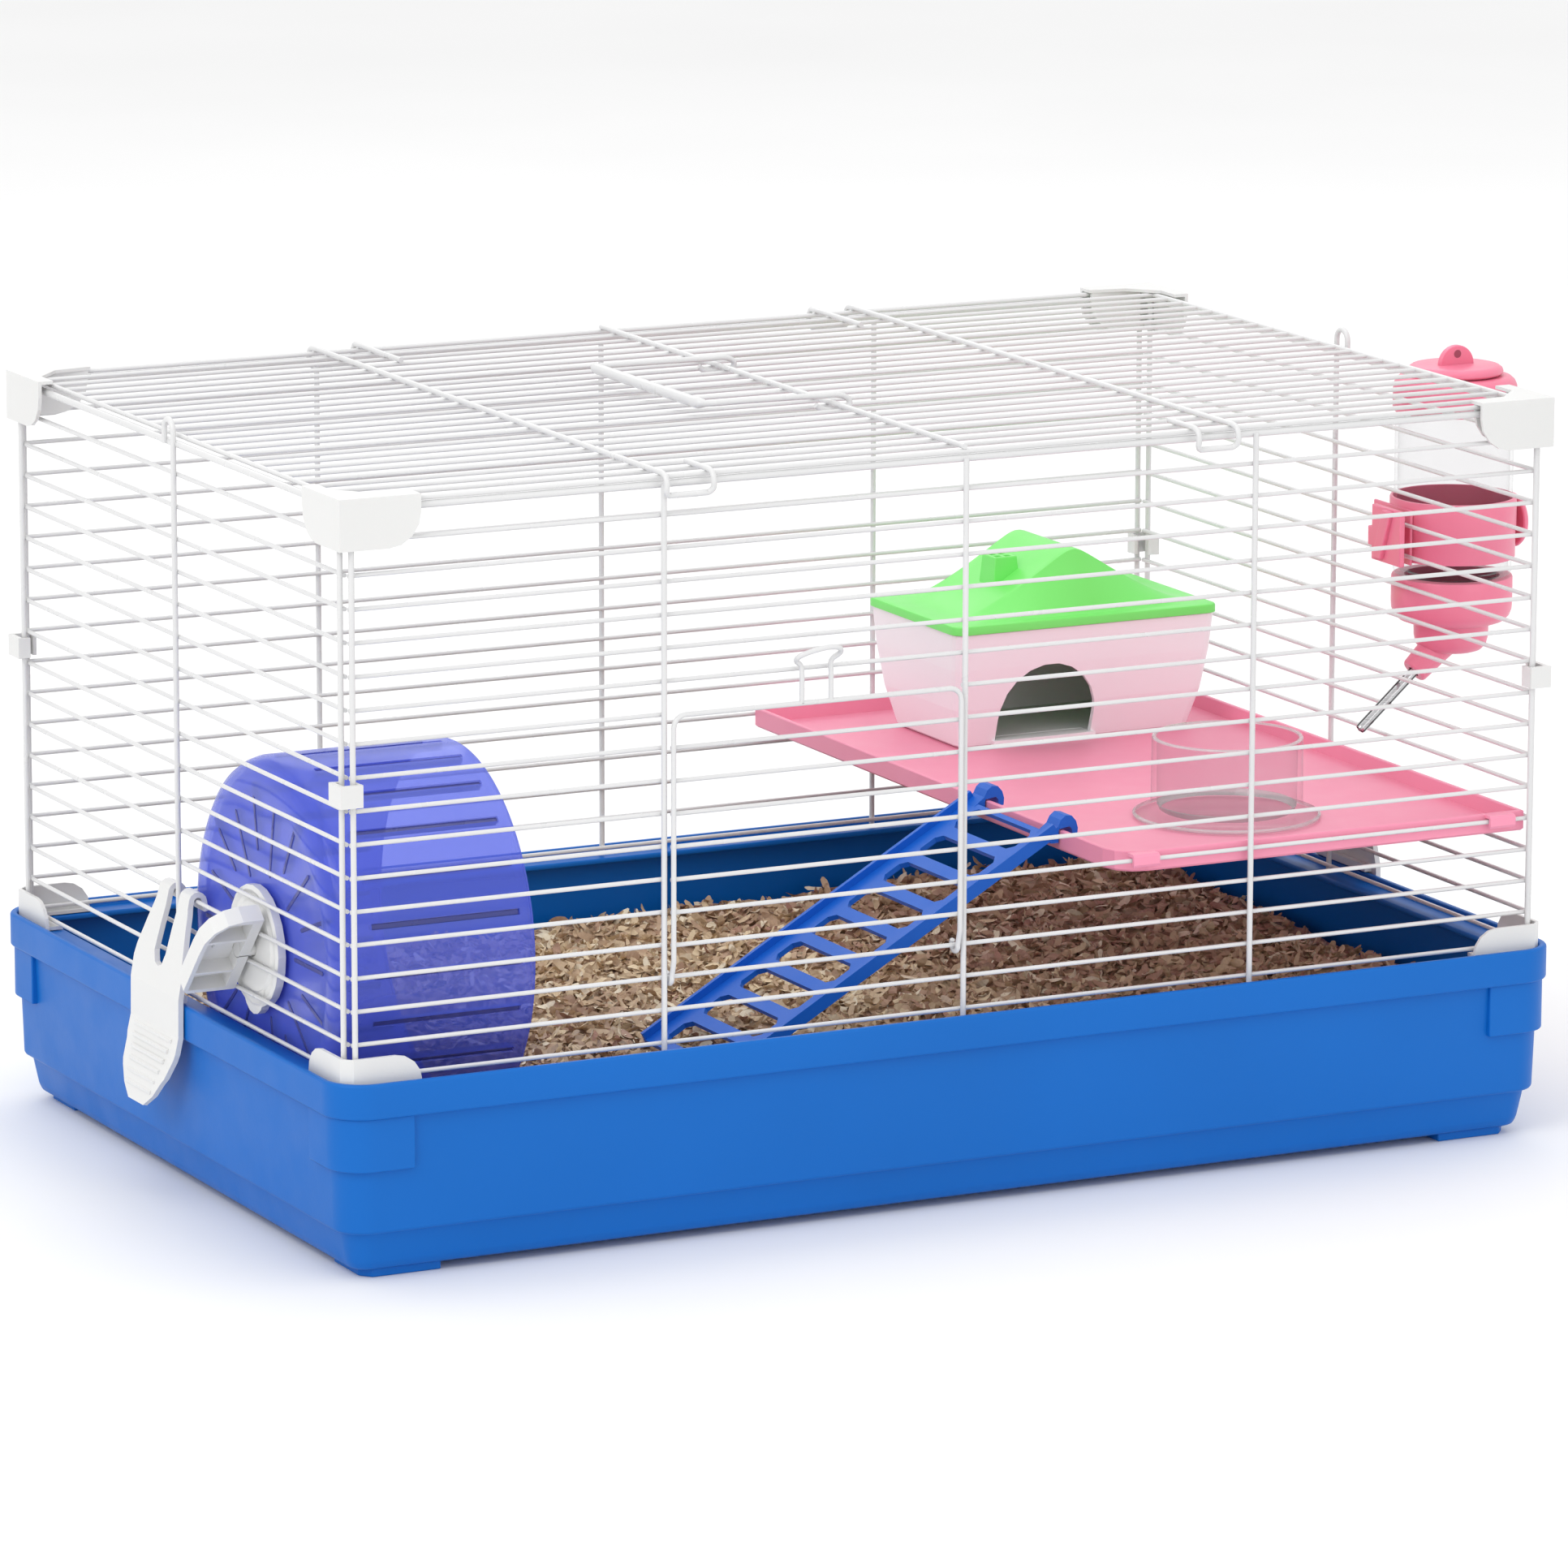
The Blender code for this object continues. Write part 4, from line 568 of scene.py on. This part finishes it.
def build_litter():
    """A lumpy bed with loose curled flakes strewn on it; each flake has its own tone."""
    bm = bmesh.new()
    tone = bm.verts.layers.float.new("tone")
    nx, ny, hx, hy = 120, 76, 231.0, 143.5
    grid = []
    for i in range(nx + 1):
        line = []
        for j in range(ny + 1):
            x, y = -hx + 2 * hx * i / nx, -hy + 2 * hy * j / ny
            lump = lumps(x, y) + noise.noise(Vector((x * 0.25, y * 0.25, 9.7)))
            v = bm.verts.new((x, y, litter_height(x, y) - 1.4 + lump))
            v[tone] = 0.5 + 0.35 * noise.noise(Vector((x * 0.2, y * 0.2, 1.3)))
            line.append(v)
        grid.append(line)
    for i in range(nx):
        for j in range(ny):
            bm.faces.new((grid[i][j], grid[i + 1][j], grid[i + 1][j + 1], grid[i][j + 1]))
    for k in range(FLAKES):
        x, y = random.uniform(-227, 227), random.uniform(-139.5, 139.5)
        h = litter_height(x, y) - 0.6 + lumps(x, y) + random.uniform(-1.6, 1.6)
        red = 0.46 + 0.5 * noise.noise(Vector((x * 0.011 + 4.0, y * 0.011, 0.2))) + (0.2 if x > 30 else -0.16)
        t = min(1.0, max(0.0, random.gauss(red * 0.6 + 0.1, 0.22)))
        if random.random() < (0.16 if x < 30 else 0.06):
            t = 1.0
        length, width = random.uniform(4.5, 11.5), random.uniform(1.3, 3.4)
        bend = random.choice((-1, 1)) * random.uniform(0.3, 2.6)       # angle swept along the flake
        twist = random.uniform(-0.8, 0.8)
        rot = (Matrix.Rotation(random.uniform(0, 2 * math.pi), 3, "Z")
               @ Matrix.Rotation(random.gauss(0.0, 0.36), 3, "Y")
               @ Matrix.Rotation(random.gauss(0.0, 0.7), 3, "X"))
        segs = 6
        radius = length / abs(bend)
        verts = []
        for q in range(segs + 1):
            f = q / segs - 0.5
            w = width * (0.35 if q in (0, segs) else 1.0) * random.uniform(0.85, 1.15)
            a, turn = twist * f * 2, bend * f
            mid = Vector((radius * math.sin(abs(turn)) * (1 if f > 0 else -1), 0.4 * math.sin(f * 5 + k),
                          math.copysign(radius * (1 - math.cos(turn)), bend)))
            across = Vector((0, math.cos(a), math.sin(a))) * w * 0.5
            for side in (-1, 1):
                p = rot @ (mid + across * side) + Vector((x, y, h))
                p.z = min(p.z, litter_height(x, y) + 4.4)
                v = bm.verts.new((max(-230.5, min(230.5, p.x)), max(-143.0, min(143.0, p.y)), p.z))
                v[tone] = t
                verts.append(v)
        for q in range(segs):
            bm.faces.new((verts[2 * q], verts[2 * q + 1], verts[2 * q + 3], verts[2 * q + 2]))
    for v in bm.verts:
        v.co = world(v.co)
    mesh = bpy.data.meshes.new("litter_flakes")
    bm.to_mesh(mesh)
    bm.free()
    obj = bpy.data.objects.new("litter_flakes", mesh)
    bpy.context.scene.collection.objects.link(obj)
    mesh.materials.append(M["litter"])
    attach(obj, "tray")
    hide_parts("wood_shavings")


build_litter()


# ---------------------------------------------------------------- exercise wheel
def build_wheel():
    """Drum closed at its left end, with 24 narrow running slots round it and 18 slits in its face; the dark
    strips behind the slots and in the face's slits are painted shade.
    """
    (x0, x1), r = WHEEL_X, WHEEL_R
    bm, dark = bmesh.new(), bmesh.new()
    slots, fine, open_part = 24, 10, 0.12
    turns = []
    for g in range(slots):
        for k in range(fine):
            f = open_part * k / 2 if k < 2 else open_part + (1 - open_part) * (k - 2) / (fine - 2)
            turns.append(2 * math.pi * (g + f) / slots)
    n = len(turns)

    def ring(x, rad):
        return [bm.verts.new((x, WHEEL_Y + rad * math.sin(a), WHEEL_Z + rad * math.cos(a))) for a in turns]

    def skin(a, b, holes=False):
        for i in range(n):
            if holes and i % fine < 2:
                continue
            j = (i + 1) % n
            bm.faces.new((a[i], a[j], b[j], b[i]))

    xs = [x0 + 8.0, x0 + 13.0, x1 - 5.0, x1 - 1.2]
    outer, inner = [ring(x, r - 0.15) for x in xs], [ring(x, r - 1.9) for x in xs]
    skin(outer[0], outer[1])
    skin(outer[1], outer[2], True)
    skin(outer[2], outer[3])
    skin(inner[3], inner[2])
    skin(inner[2], inner[1], True)
    skin(inner[1], inner[0])
    lip = [ring(x1 - 0.9, r - 0.02), ring(x1 - 0.2, r - 0.3), ring(x1, r - 1.1), ring(x1 - 0.2, r - 2.1),
           ring(x1 - 0.9, r - 2.3)]
    for a, b in zip([outer[3]] + lip, lip + [inner[3]]):
        skin(a, b)
    for g in range(slots):
        i, j = g * fine, g * fine + 2
        for k in range(2):
            bm.faces.new((outer[1][i + k], outer[1][i + k + 1], inner[1][i + k + 1], inner[1][i + k]))
            bm.faces.new((outer[2][i + k + 1], outer[2][i + k], inner[2][i + k], inner[2][i + k + 1]))
        bm.faces.new((outer[2][i], outer[1][i], inner[1][i], inner[2][i]))
        bm.faces.new((outer[1][j], outer[2][j], inner[2][j], inner[1][j]))
        a = 2 * math.pi * (g + open_part / 2) / slots      # dark strip behind each slot: painted shade of the drum's dark inside
        u, v = Vector((0, math.sin(a), math.cos(a))), Vector((0, math.cos(a), -math.sin(a)))
        mid = Vector((0, WHEEL_Y, WHEEL_Z))
        quad = [mid + u * (r - 0.9) - v * 1.0, mid + u * (r - 0.9) + v * 1.0,
                mid + u * (r - 3.4) + v * 0.8, mid + u * (r - 3.4) - v * 0.8]
        loft(dark, [[(x, q.y, q.z) for q in quad] for x in (xs[1] + 0.2, xs[2] - 0.2)])
    face = [(4.6, r - 4.4), (3.0, r - 7.6), (2.2, r - 9.5), (2.2, 40.0), (2.2, 22.0), (2.4, 10.0),
            (11.5, 8.0), (11.5, 3.9), (0, 3.9), (0, 12.0), (0.6, 14.0), (0.6, 52.0), (0, 54.0), (0, r - 8.0),
            (0.7, r - 5.2), (2.4, r - 2.4), (5.0, r - 0.9)]
    chain = [inner[0]] + [ring(x0 + dx, rad) for dx, rad in face] + [outer[0]]
    for a, b in zip(chain, chain[1:]):
        skin(a, b)
    # dark strips in the face's 18 slits: painted shade seen through them
    for p in range(18):
        a = 2 * math.pi * (p + 0.5) / 18
        u, v = Vector((0, math.sin(a), math.cos(a))), Vector((0, math.cos(a), -math.sin(a)))
        mid = Vector((0, WHEEL_Y, WHEEL_Z))
        near, far = (26.0, 50.0) if p % 2 else (34.0, 57.0)
        outline = [mid + u * near - v * 0.75, mid + u * (near - 0.8), mid + u * near + v * 0.75,
                   mid + u * far + v * 0.75, mid + u * (far + 0.8), mid + u * far - v * 0.75]
        loft(dark, [[(x, q.y, q.z) for q in outline] for x in (x0 + 0.35, x0 + 3.6)])
    finish_mesh("wheel_drum", bm, M["wheel"], 35, body="wheel", nodes=["exercise_wheel"])
    finish_mesh("wheel_slot_shade_strips", dark, M["slot"], 35, bevel=0.15, body="wheel")


build_wheel()
bm = bmesh.new()
lathe(bm, [(0, 0), (3.3, 0), (3.3, 22.4), (5.6, 22.5), (6.1, 23.0), (6.1, 24.2), (5.4, 25.0), (2.4, 26.1),
           (0, 26.2)], (AXLE_X, WHEEL_Y, WHEEL_Z), (1, 0, 0), 48)
finish_mesh("axle", bm, M["white"], 35, body="cage", nodes=["wheel_axle"])
keep("wheel_mounting_disc", M["white"], 0.35)
keep("wheel_clamp_bracket", M["white"], 0.45)

for place in ("front_left", "front_right", "back_left", "back_right"):
    for kind in ("corner_cap_", "corner_foot_", "corner_clip_"):
        keep(kind + place, M["white"], 0.4)
for label in ("left", "right"):
    keep("tray_clip_" + label, M["white"], 0.35)

# ---------------------------------------------------------------- shelf, ladder, house, bowl
keep("shelf_platform", M["pink"], 0.35)
keep("ladder", M["ladder"], 0.35)
keep("house_body", M["house"], 0.4)


LID_HX, LID_HY, LID_R, LID_RIM_Z, LID_BASE_Z = 57.3, 37.3, 5.0, 163.9, 160.4


def roof_height(u, v):
    """The lid's top: a rounded ridge along Y that falls away to a flat rim at both gable ends."""
    side = max(0.0, 1.0 - (math.sqrt((u - 1.0) ** 2 + 16.0) - 1.6) / 48.0)
    slope = LID_RIM_Z + 25.2 * side ** 1.38
    end = max(0.0, min(1.0, (34.0 - abs(v)) / 11.5))
    if end > 0.85:
        end = 0.85 + 0.15 * math.sin((end - 0.85) / 0.15 * math.pi / 2)
    return LID_RIM_Z + (slope - LID_RIM_Z) * end


us = [-LID_HX, -57.0, -56.2] + [-55.0 + 110.0 * k / 66 for k in range(67)] + [56.2, 57.0, LID_HX]
vs = [-LID_HY, -37.0, -36.2] + [-35.0 + 70.0 * k / 52 for k in range(53)] + [36.2, 37.0, LID_HY]
nu, nv = len(us), len(vs)


def rounded(u, v):
    """Pull a point of the square grid in, so that the lid's four corners are round."""
    du, dv = abs(u) - (LID_HX - LID_R), abs(v) - (LID_HY - LID_R)
    if du <= 0 or dv <= 0:
        return u, v
    k = max(du, dv) / math.hypot(du, dv)
    return math.copysign(LID_HX - LID_R + du * k, u), math.copysign(LID_HY - LID_R + dv * k, v)


def lid_point(i, j, low):
    """A point of the lid's outer skin, or of the hollow under it."""
    u, v = rounded(us[i], vs[j])
    if low:
        rim = i < 3 or i > nu - 4 or j < 3 or j > nv - 4
        return (HOUSE_X + u, HOUSE_Y + v, LID_BASE_Z if rim else roof_height(u, v) - 1.9)
    drop = {0: 0.9, 1: 0.35, 2: 0.08}
    d = max(drop.get(min(i, nu - 1 - i), 0.0), drop.get(min(j, nv - 1 - j), 0.0))
    return (HOUSE_X + u, HOUSE_Y + v, roof_height(u, v) - d)


bm = bmesh.new()
top = [[bm.verts.new(lid_point(i, j, False)) for j in range(nv)] for i in range(nu)]
low = [[bm.verts.new(lid_point(i, j, True)) for j in range(nv)] for i in range(nu)]
for i in range(nu - 1):
    for j in range(nv - 1):
        bm.faces.new((top[i][j], top[i + 1][j], top[i + 1][j + 1], top[i][j + 1]))
        bm.faces.new((low[i][j + 1], low[i + 1][j + 1], low[i + 1][j], low[i][j]))
skirt = [(i, 0) for i in range(nu)] + [(nu - 1, j) for j in range(1, nv)]
skirt += [(i, nv - 1) for i in range(nu - 2, -1, -1)] + [(0, j) for j in range(nv - 2, 0, -1)]
for a, b in zip(skirt, skirt[1:] + skirt[:1]):
    bm.faces.new((top[a[0]][a[1]], low[a[0]][a[1]], low[b[0]][b[1]], top[b[0]][b[1]]))
finish_mesh("lid_shell", bm, M["lid"], 40, body="lid", nodes=["house_lid"])

CHIMNEY_X, CHIMNEY_Y, CHIMNEY_TOP = HOUSE_X - 20.5, HOUSE_Y - 3.0, 183.4
bm = bmesh.new()
grid = [[bm.verts.new((CHIMNEY_X + x, CHIMNEY_Y + y, CHIMNEY_TOP)) for y in (-5.3, -3.8, -0.8, 0.8, 3.8, 5.3)]
        for x in (-4.7, -3.3, -0.7, 0.7, 3.3, 4.7)]
for i in range(5):
    for j in range(5):
        quad = [grid[i][j], grid[i + 1][j], grid[i + 1][j + 1], grid[i][j + 1]]
        if i in (1, 3) and j in (1, 3):
            deep = [bm.verts.new((v.co.x, v.co.y, CHIMNEY_TOP - 3.0)) for v in quad]
            for k in range(4):
                m = (k + 1) % 4
                bm.faces.new((quad[k], quad[m], deep[m], deep[k]))
            bm.faces.new(deep)
        else:
            bm.faces.new(quad)
rim_loop = [grid[i][0] for i in range(6)] + [grid[5][j] for j in range(1, 6)]
rim_loop += [grid[i][5] for i in range(4, -1, -1)] + [grid[0][j] for j in range(4, 0, -1)]
foot_loop = [bm.verts.new((CHIMNEY_X + (v.co.x - CHIMNEY_X) * 1.24,
                           CHIMNEY_Y + (v.co.y - CHIMNEY_Y) * 1.18, 170.8)) for v in rim_loop]
for k in range(len(rim_loop)):
    m = (k + 1) % len(rim_loop)
    bm.faces.new((rim_loop[k], rim_loop[m], foot_loop[m], foot_loop[k]))
bm.faces.new(foot_loop)
finish_mesh("chimney", bm, M["lid"], 30, bevel=0.35, body="lid")

bm = bmesh.new()
lathe(bm, [(0, 0), (33.4, 0), (34.4, 0.3), (34.7, 0.9), (34.4, 1.5), (30.4, 2.4), (28.7, 3.6), (28.0, 5.6),
           (27.8, 29.4), (27.5, 30.0), (26.9, 30.2), (26.3, 30.0), (26.0, 29.4), (25.8, 5.4), (25.2, 3.4),
           (23.4, 2.3), (0, 2.2)], (BOWL_X, BOWL_Y, BOWL_Z), steps=128)
finish_mesh("bowl_shell", bm, M["clear"], 40, body="bowl", nodes=["food_bowl"])


# ---------------------------------------------------------------- bottle, and painted highlight rings at the bowl's edges
def turned(name, mat, profile, node, centre=(BOTTLE_X, BOTTLE_Y, 0), axis=(0, 0, 1), body="cage",
           steps=96):
    """A turned piece; its profile is (radius, height), by default round the bottle's own axis."""
    bm = bmesh.new()
    lathe(bm, profile, centre, axis, steps)
    finish_mesh(name, bm, mat, 35, body=body, nodes=[node] if node else ())


# Thin pale rings at the bowl's rim, base flange and inner bottom: painted highlights of its clear edges.
BOWL_EDGE_HIGHLIGHTS = {
    "bowl_rim_highlight": [(26.3, 29.5), (27.78, 29.5), (27.6, 30.1), (26.5, 30.15)],
    "bowl_base_edge_highlight": [(33.9, 0.3), (34.68, 0.6), (34.68, 1.2), (33.7, 1.7)],
    "bowl_inner_edge_highlight": [(24.3, 2.5), (25.1, 3.1), (25.75, 4.8), (25.6, 5.0), (24.9, 3.5)],
}
for name, section in BOWL_EDGE_HIGHLIGHTS.items():
    turned(name, M["edge"], section, None, centre=(BOWL_X, BOWL_Y, BOWL_Z), body="bowl",
           steps=128)
turned("bottle_shell", M["clear"],
       [(16.4, 179.0), (17.4, 179.0), (17.4, 189.2), (20.8, 189.4), (21.8, 190.0), (22.3, 191.2),
        (22.3, 249.0), (22.0, 250.2), (21.1, 250.9), (20.9, 251.4), (20.9, 260.6), (19.7, 260.6),
        (19.7, 250.8), (20.7, 249.6), (21.0, 248.6), (21.0, 192.2), (20.4, 191.2), (16.4, 190.6)],
       "bottle_body")
turned("shoulder_shell", M["bottle_pink"],
       [(15.2, 262.8), (15.2, 264.7), (19.1, 264.7), (20.9, 264.2), (22.3, 263.0), (23.1, 261.2),
        (23.3, 259.4), (23.3, 252.0), (23.0, 251.4), (21.3, 251.4), (21.3, 260.2), (20.5, 261.6),
        (19.1, 262.8)],
       "bottle_shoulder")
turned("stopper_disc", M["bottle_pink"],
       [(0, 258.4), (14.6, 258.4), (14.6, 265.0), (17.2, 265.3), (17.8, 265.9), (17.9, 266.5), (17.5, 267.5),
        (16.4, 268.3), (15.0, 268.6), (0, 268.6)], "bottle_stopper", body="stopper")
bm = bmesh.new()
tab = [(BOTTLE_X - TAB_R, 267.8), (BOTTLE_X + TAB_R, 267.8)] + arc(BOTTLE_X, 268.6, TAB_R, 0, 180, 28)
prism(bm, tab, "Y", BOTTLE_Y - 1.25, BOTTLE_Y + 1.25)
finish_mesh("stopper_tab", bm, M["bottle_pink"], 35, bevel=0.35, body="stopper")
# A dark disc through the tab's hole: painted shadow of the hole.
bm = bmesh.new()
lathe(bm, [(0, -1.35), (1.5, -1.35), (1.5, 1.35), (0, 1.35)], (BOTTLE_X, BOTTLE_Y, TAB_HOLE_Z), (0, 1, 0), 24)
finish_mesh("stopper_tab_hole_shadow", bm, plastic("tab_hole_shadow", (0.3, 0.05, 0.09), 0.6, 0.05), 35,
            body="stopper")

AIM = Vector((-math.cos(SPOUT_SLOPE), 0, -math.sin(SPOUT_SLOPE)))
ROOT = Vector((BOTTLE_X + 0.6, BOTTLE_Y, 167.4))
turned("lower_cap_shell", M["bottle_pink"],
       [(0, 159.8), (9.0, 159.8), (11.4, 160.6), (13.2, 162.4), (14.0, 165.6), (14.1, 169.8), (14.7, 170.7),
        (17.2, 171.1), (19.9, 172.1), (21.8, 174.0), (22.6, 176.2), (22.8, 178.8), (22.8, 188.2),
        (22.5, 188.8), (17.9, 188.8), (17.9, 177.8), (0, 177.8)], "bottle_lower_cap")
turned("elbow_shell", M["bottle_pink"],
       [(2.35, 1.5), (6.6, 1.5), (6.4, 6.0), (6.0, 10.0), (5.6, 15.6), (5.2, 21.2), (4.9, 21.9), (4.5, 22.2),
        (2.35, 22.2)], None, centre=ROOT, axis=AIM, steps=48)
turned("tube_shell", M["steel"],
       [(1.6, 14.8), (2.0, 14.8), (2.0, SPOUT_LEN - 1.2), (1.95, SPOUT_LEN - 0.6), (1.75, SPOUT_LEN),
        (1.45, SPOUT_LEN), (1.6, SPOUT_LEN - 1.2)], "spout_tube", centre=ROOT, axis=AIM, steps=40)
BALL_R = 1.35
ball_profile = [(0, -BALL_R)] + [(BALL_R * math.sin(math.pi * k / 16), -BALL_R * math.cos(math.pi * k / 16))
                                 for k in range(1, 16)] + [(0, BALL_R)]
turned("ball_shell", M["steel"], ball_profile, "spout_ball",
       centre=ROOT + AIM * (SPOUT_LEN - 0.8), axis=AIM, body="ball", steps=32)
turned("holder_ring", M["bottle_pink"],
       [(22.6, 196.1), (22.8, 196.0), (23.3, 196.0), (23.5, 196.3), (23.5, 207.2), (23.8, 207.7),
        (23.8, 218.3), (23.5, 218.9), (22.8, 219.0), (22.6, 218.8)], "bottle_holder")
bm = bmesh.new()
box(bm, 237.1, 238.3, BOTTLE_Y - 9.0, BOTTLE_Y + 18.0, 195.4, 216.4)
finish_mesh("holder_arm", bm, M["bottle_pink"], 30, bevel=0.4, body="cage")
bm = bmesh.new()
box(bm, 229.4, 237.4, BOTTLE_Y - 3.0, BOTTLE_Y + 9.0, row_z(6) + 2.2, row_z(5) - 2.2)
finish_mesh("holder_neck", bm, M["bottle_pink"], 30, bevel=0.4, body="cage")
bm = bmesh.new()
box(bm, 229.2, 231.4, BOTTLE_Y - 15.0, BOTTLE_Y + 6.0, 196.2, 217.2)
prism(bm, [(-58.0, 216.6), (-52.0, 216.6), (-45.0, 197.4), (-51.0, 197.4)], "X", 227.6, 229.6)
finish_mesh("holder_inner_plate", bm, M["bottle_pink"], 30, bevel=0.5, body="cage")
turned("knob_shell", M["bottle_pink"],
       [(0, 0), (4.0, 0), (4.0, 0.9), (9.7, 0.9), (10.2, 1.3), (10.3, 2.1), (9.6, 3.1), (7.6, 3.6),
        (4.0, 3.88), (0, 3.9)], "holder_end_knob",
       centre=(BOTTLE_X + 24.2, BOTTLE_Y, KNOB_Z), axis=(1, 0, 0), steps=64)

# ---------------------------------------------------------------- floor, light and camera
floor_mat, tree, bsdf = nodes_of("studio_floor")
nz = noise_node(tree, 3.0, 2.0)
ramp = ramp_node(tree, nz.outputs["Fac"], [(0.3, (0.88,) * 3), (0.7, (0.90,) * 3)])
link(tree, ramp.outputs["Color"], bsdf.inputs["Base Color"])
bsdf.inputs["Roughness"].default_value = 0.85
mesh = bpy.data.meshes.new("floor")
FLOOR = 6.0
mesh.from_pydata([(-FLOOR, -FLOOR, 0), (FLOOR, -FLOOR, 0), (FLOOR, FLOOR, 0), (-FLOOR, FLOOR, 0)], [],
                 [(0, 1, 2, 3)])
floor_obj = bpy.data.objects.new("floor", mesh)
bpy.context.scene.collection.objects.link(floor_obj)
mesh.materials.append(floor_mat)

studio = bpy.data.worlds.new("studio")
bpy.context.scene.world = studio
studio.use_nodes = True
studio.node_tree.nodes["Background"].inputs["Color"].default_value = (1.0, 1.0, 1.0, 1.0)
studio.node_tree.nodes["Background"].inputs["Strength"].default_value = 1.0


def area(name, loc, target, size, power):
    """A white soft box at loc that faces target; sizes in metres, power in watts."""
    data = bpy.data.lights.new(name, "AREA")
    data.shape = "RECTANGLE"
    data.size, data.size_y = size
    data.energy = power
    obj = bpy.data.objects.new(name, data)
    bpy.context.scene.collection.objects.link(obj)
    obj.location = loc
    obj.rotation_mode = "QUATERNION"
    obj.rotation_quaternion = (Vector(target) - Vector(loc)).to_track_quat("-Z", "Y")


area("key_left", (-1.7, -0.9, 1.5), (0, 0, 0.1), (1.2, 1.2), 12)
area("top_soft", (0.1, 0.1, 2.2), (0, 0, 0.1), (2.0, 2.0), 9)
area("front_fill", (0.6, -2.6, 0.9), (0, 0, 0.12), (1.6, 1.0), 4.5)
area("back_rim", (0.7, 2.0, 1.5), (0, 0, 0.2), (1.6, 0.8), 4.5)

bpy.context.scene.view_settings.view_transform = "Standard"
cam_data = bpy.data.cameras.new("camera")
cam = bpy.data.objects.new("camera", cam_data)
bpy.context.scene.collection.objects.link(cam)
bpy.context.scene.camera = cam
cam_data.sensor_width, cam_data.lens = 36.0, CAM_LENS
cam_data.clip_start, cam_data.clip_end = 0.1, 30.0
yaw, pitch, roll = CAM_YAW, CAM_PITCH, CAM_ROLL
fwd = Vector((math.sin(yaw) * math.cos(pitch), math.cos(yaw) * math.cos(pitch), -math.sin(pitch)))
cam.location = ((CAM_AT[0] - CX) * 0.001, CAM_AT[1] * 0.001, (CAM_AT[2] + DZ) * 0.001)
cam.rotation_mode = "QUATERNION"
right = fwd.cross(Vector((0, 0, 1))).normalized()
up = right.cross(fwd)
right_r = right * math.cos(roll) + up * math.sin(roll)
up_r = up * math.cos(roll) - right * math.sin(roll)
cam.rotation_quaternion = Matrix((right_r, up_r, -fwd)).transposed().to_quaternion()
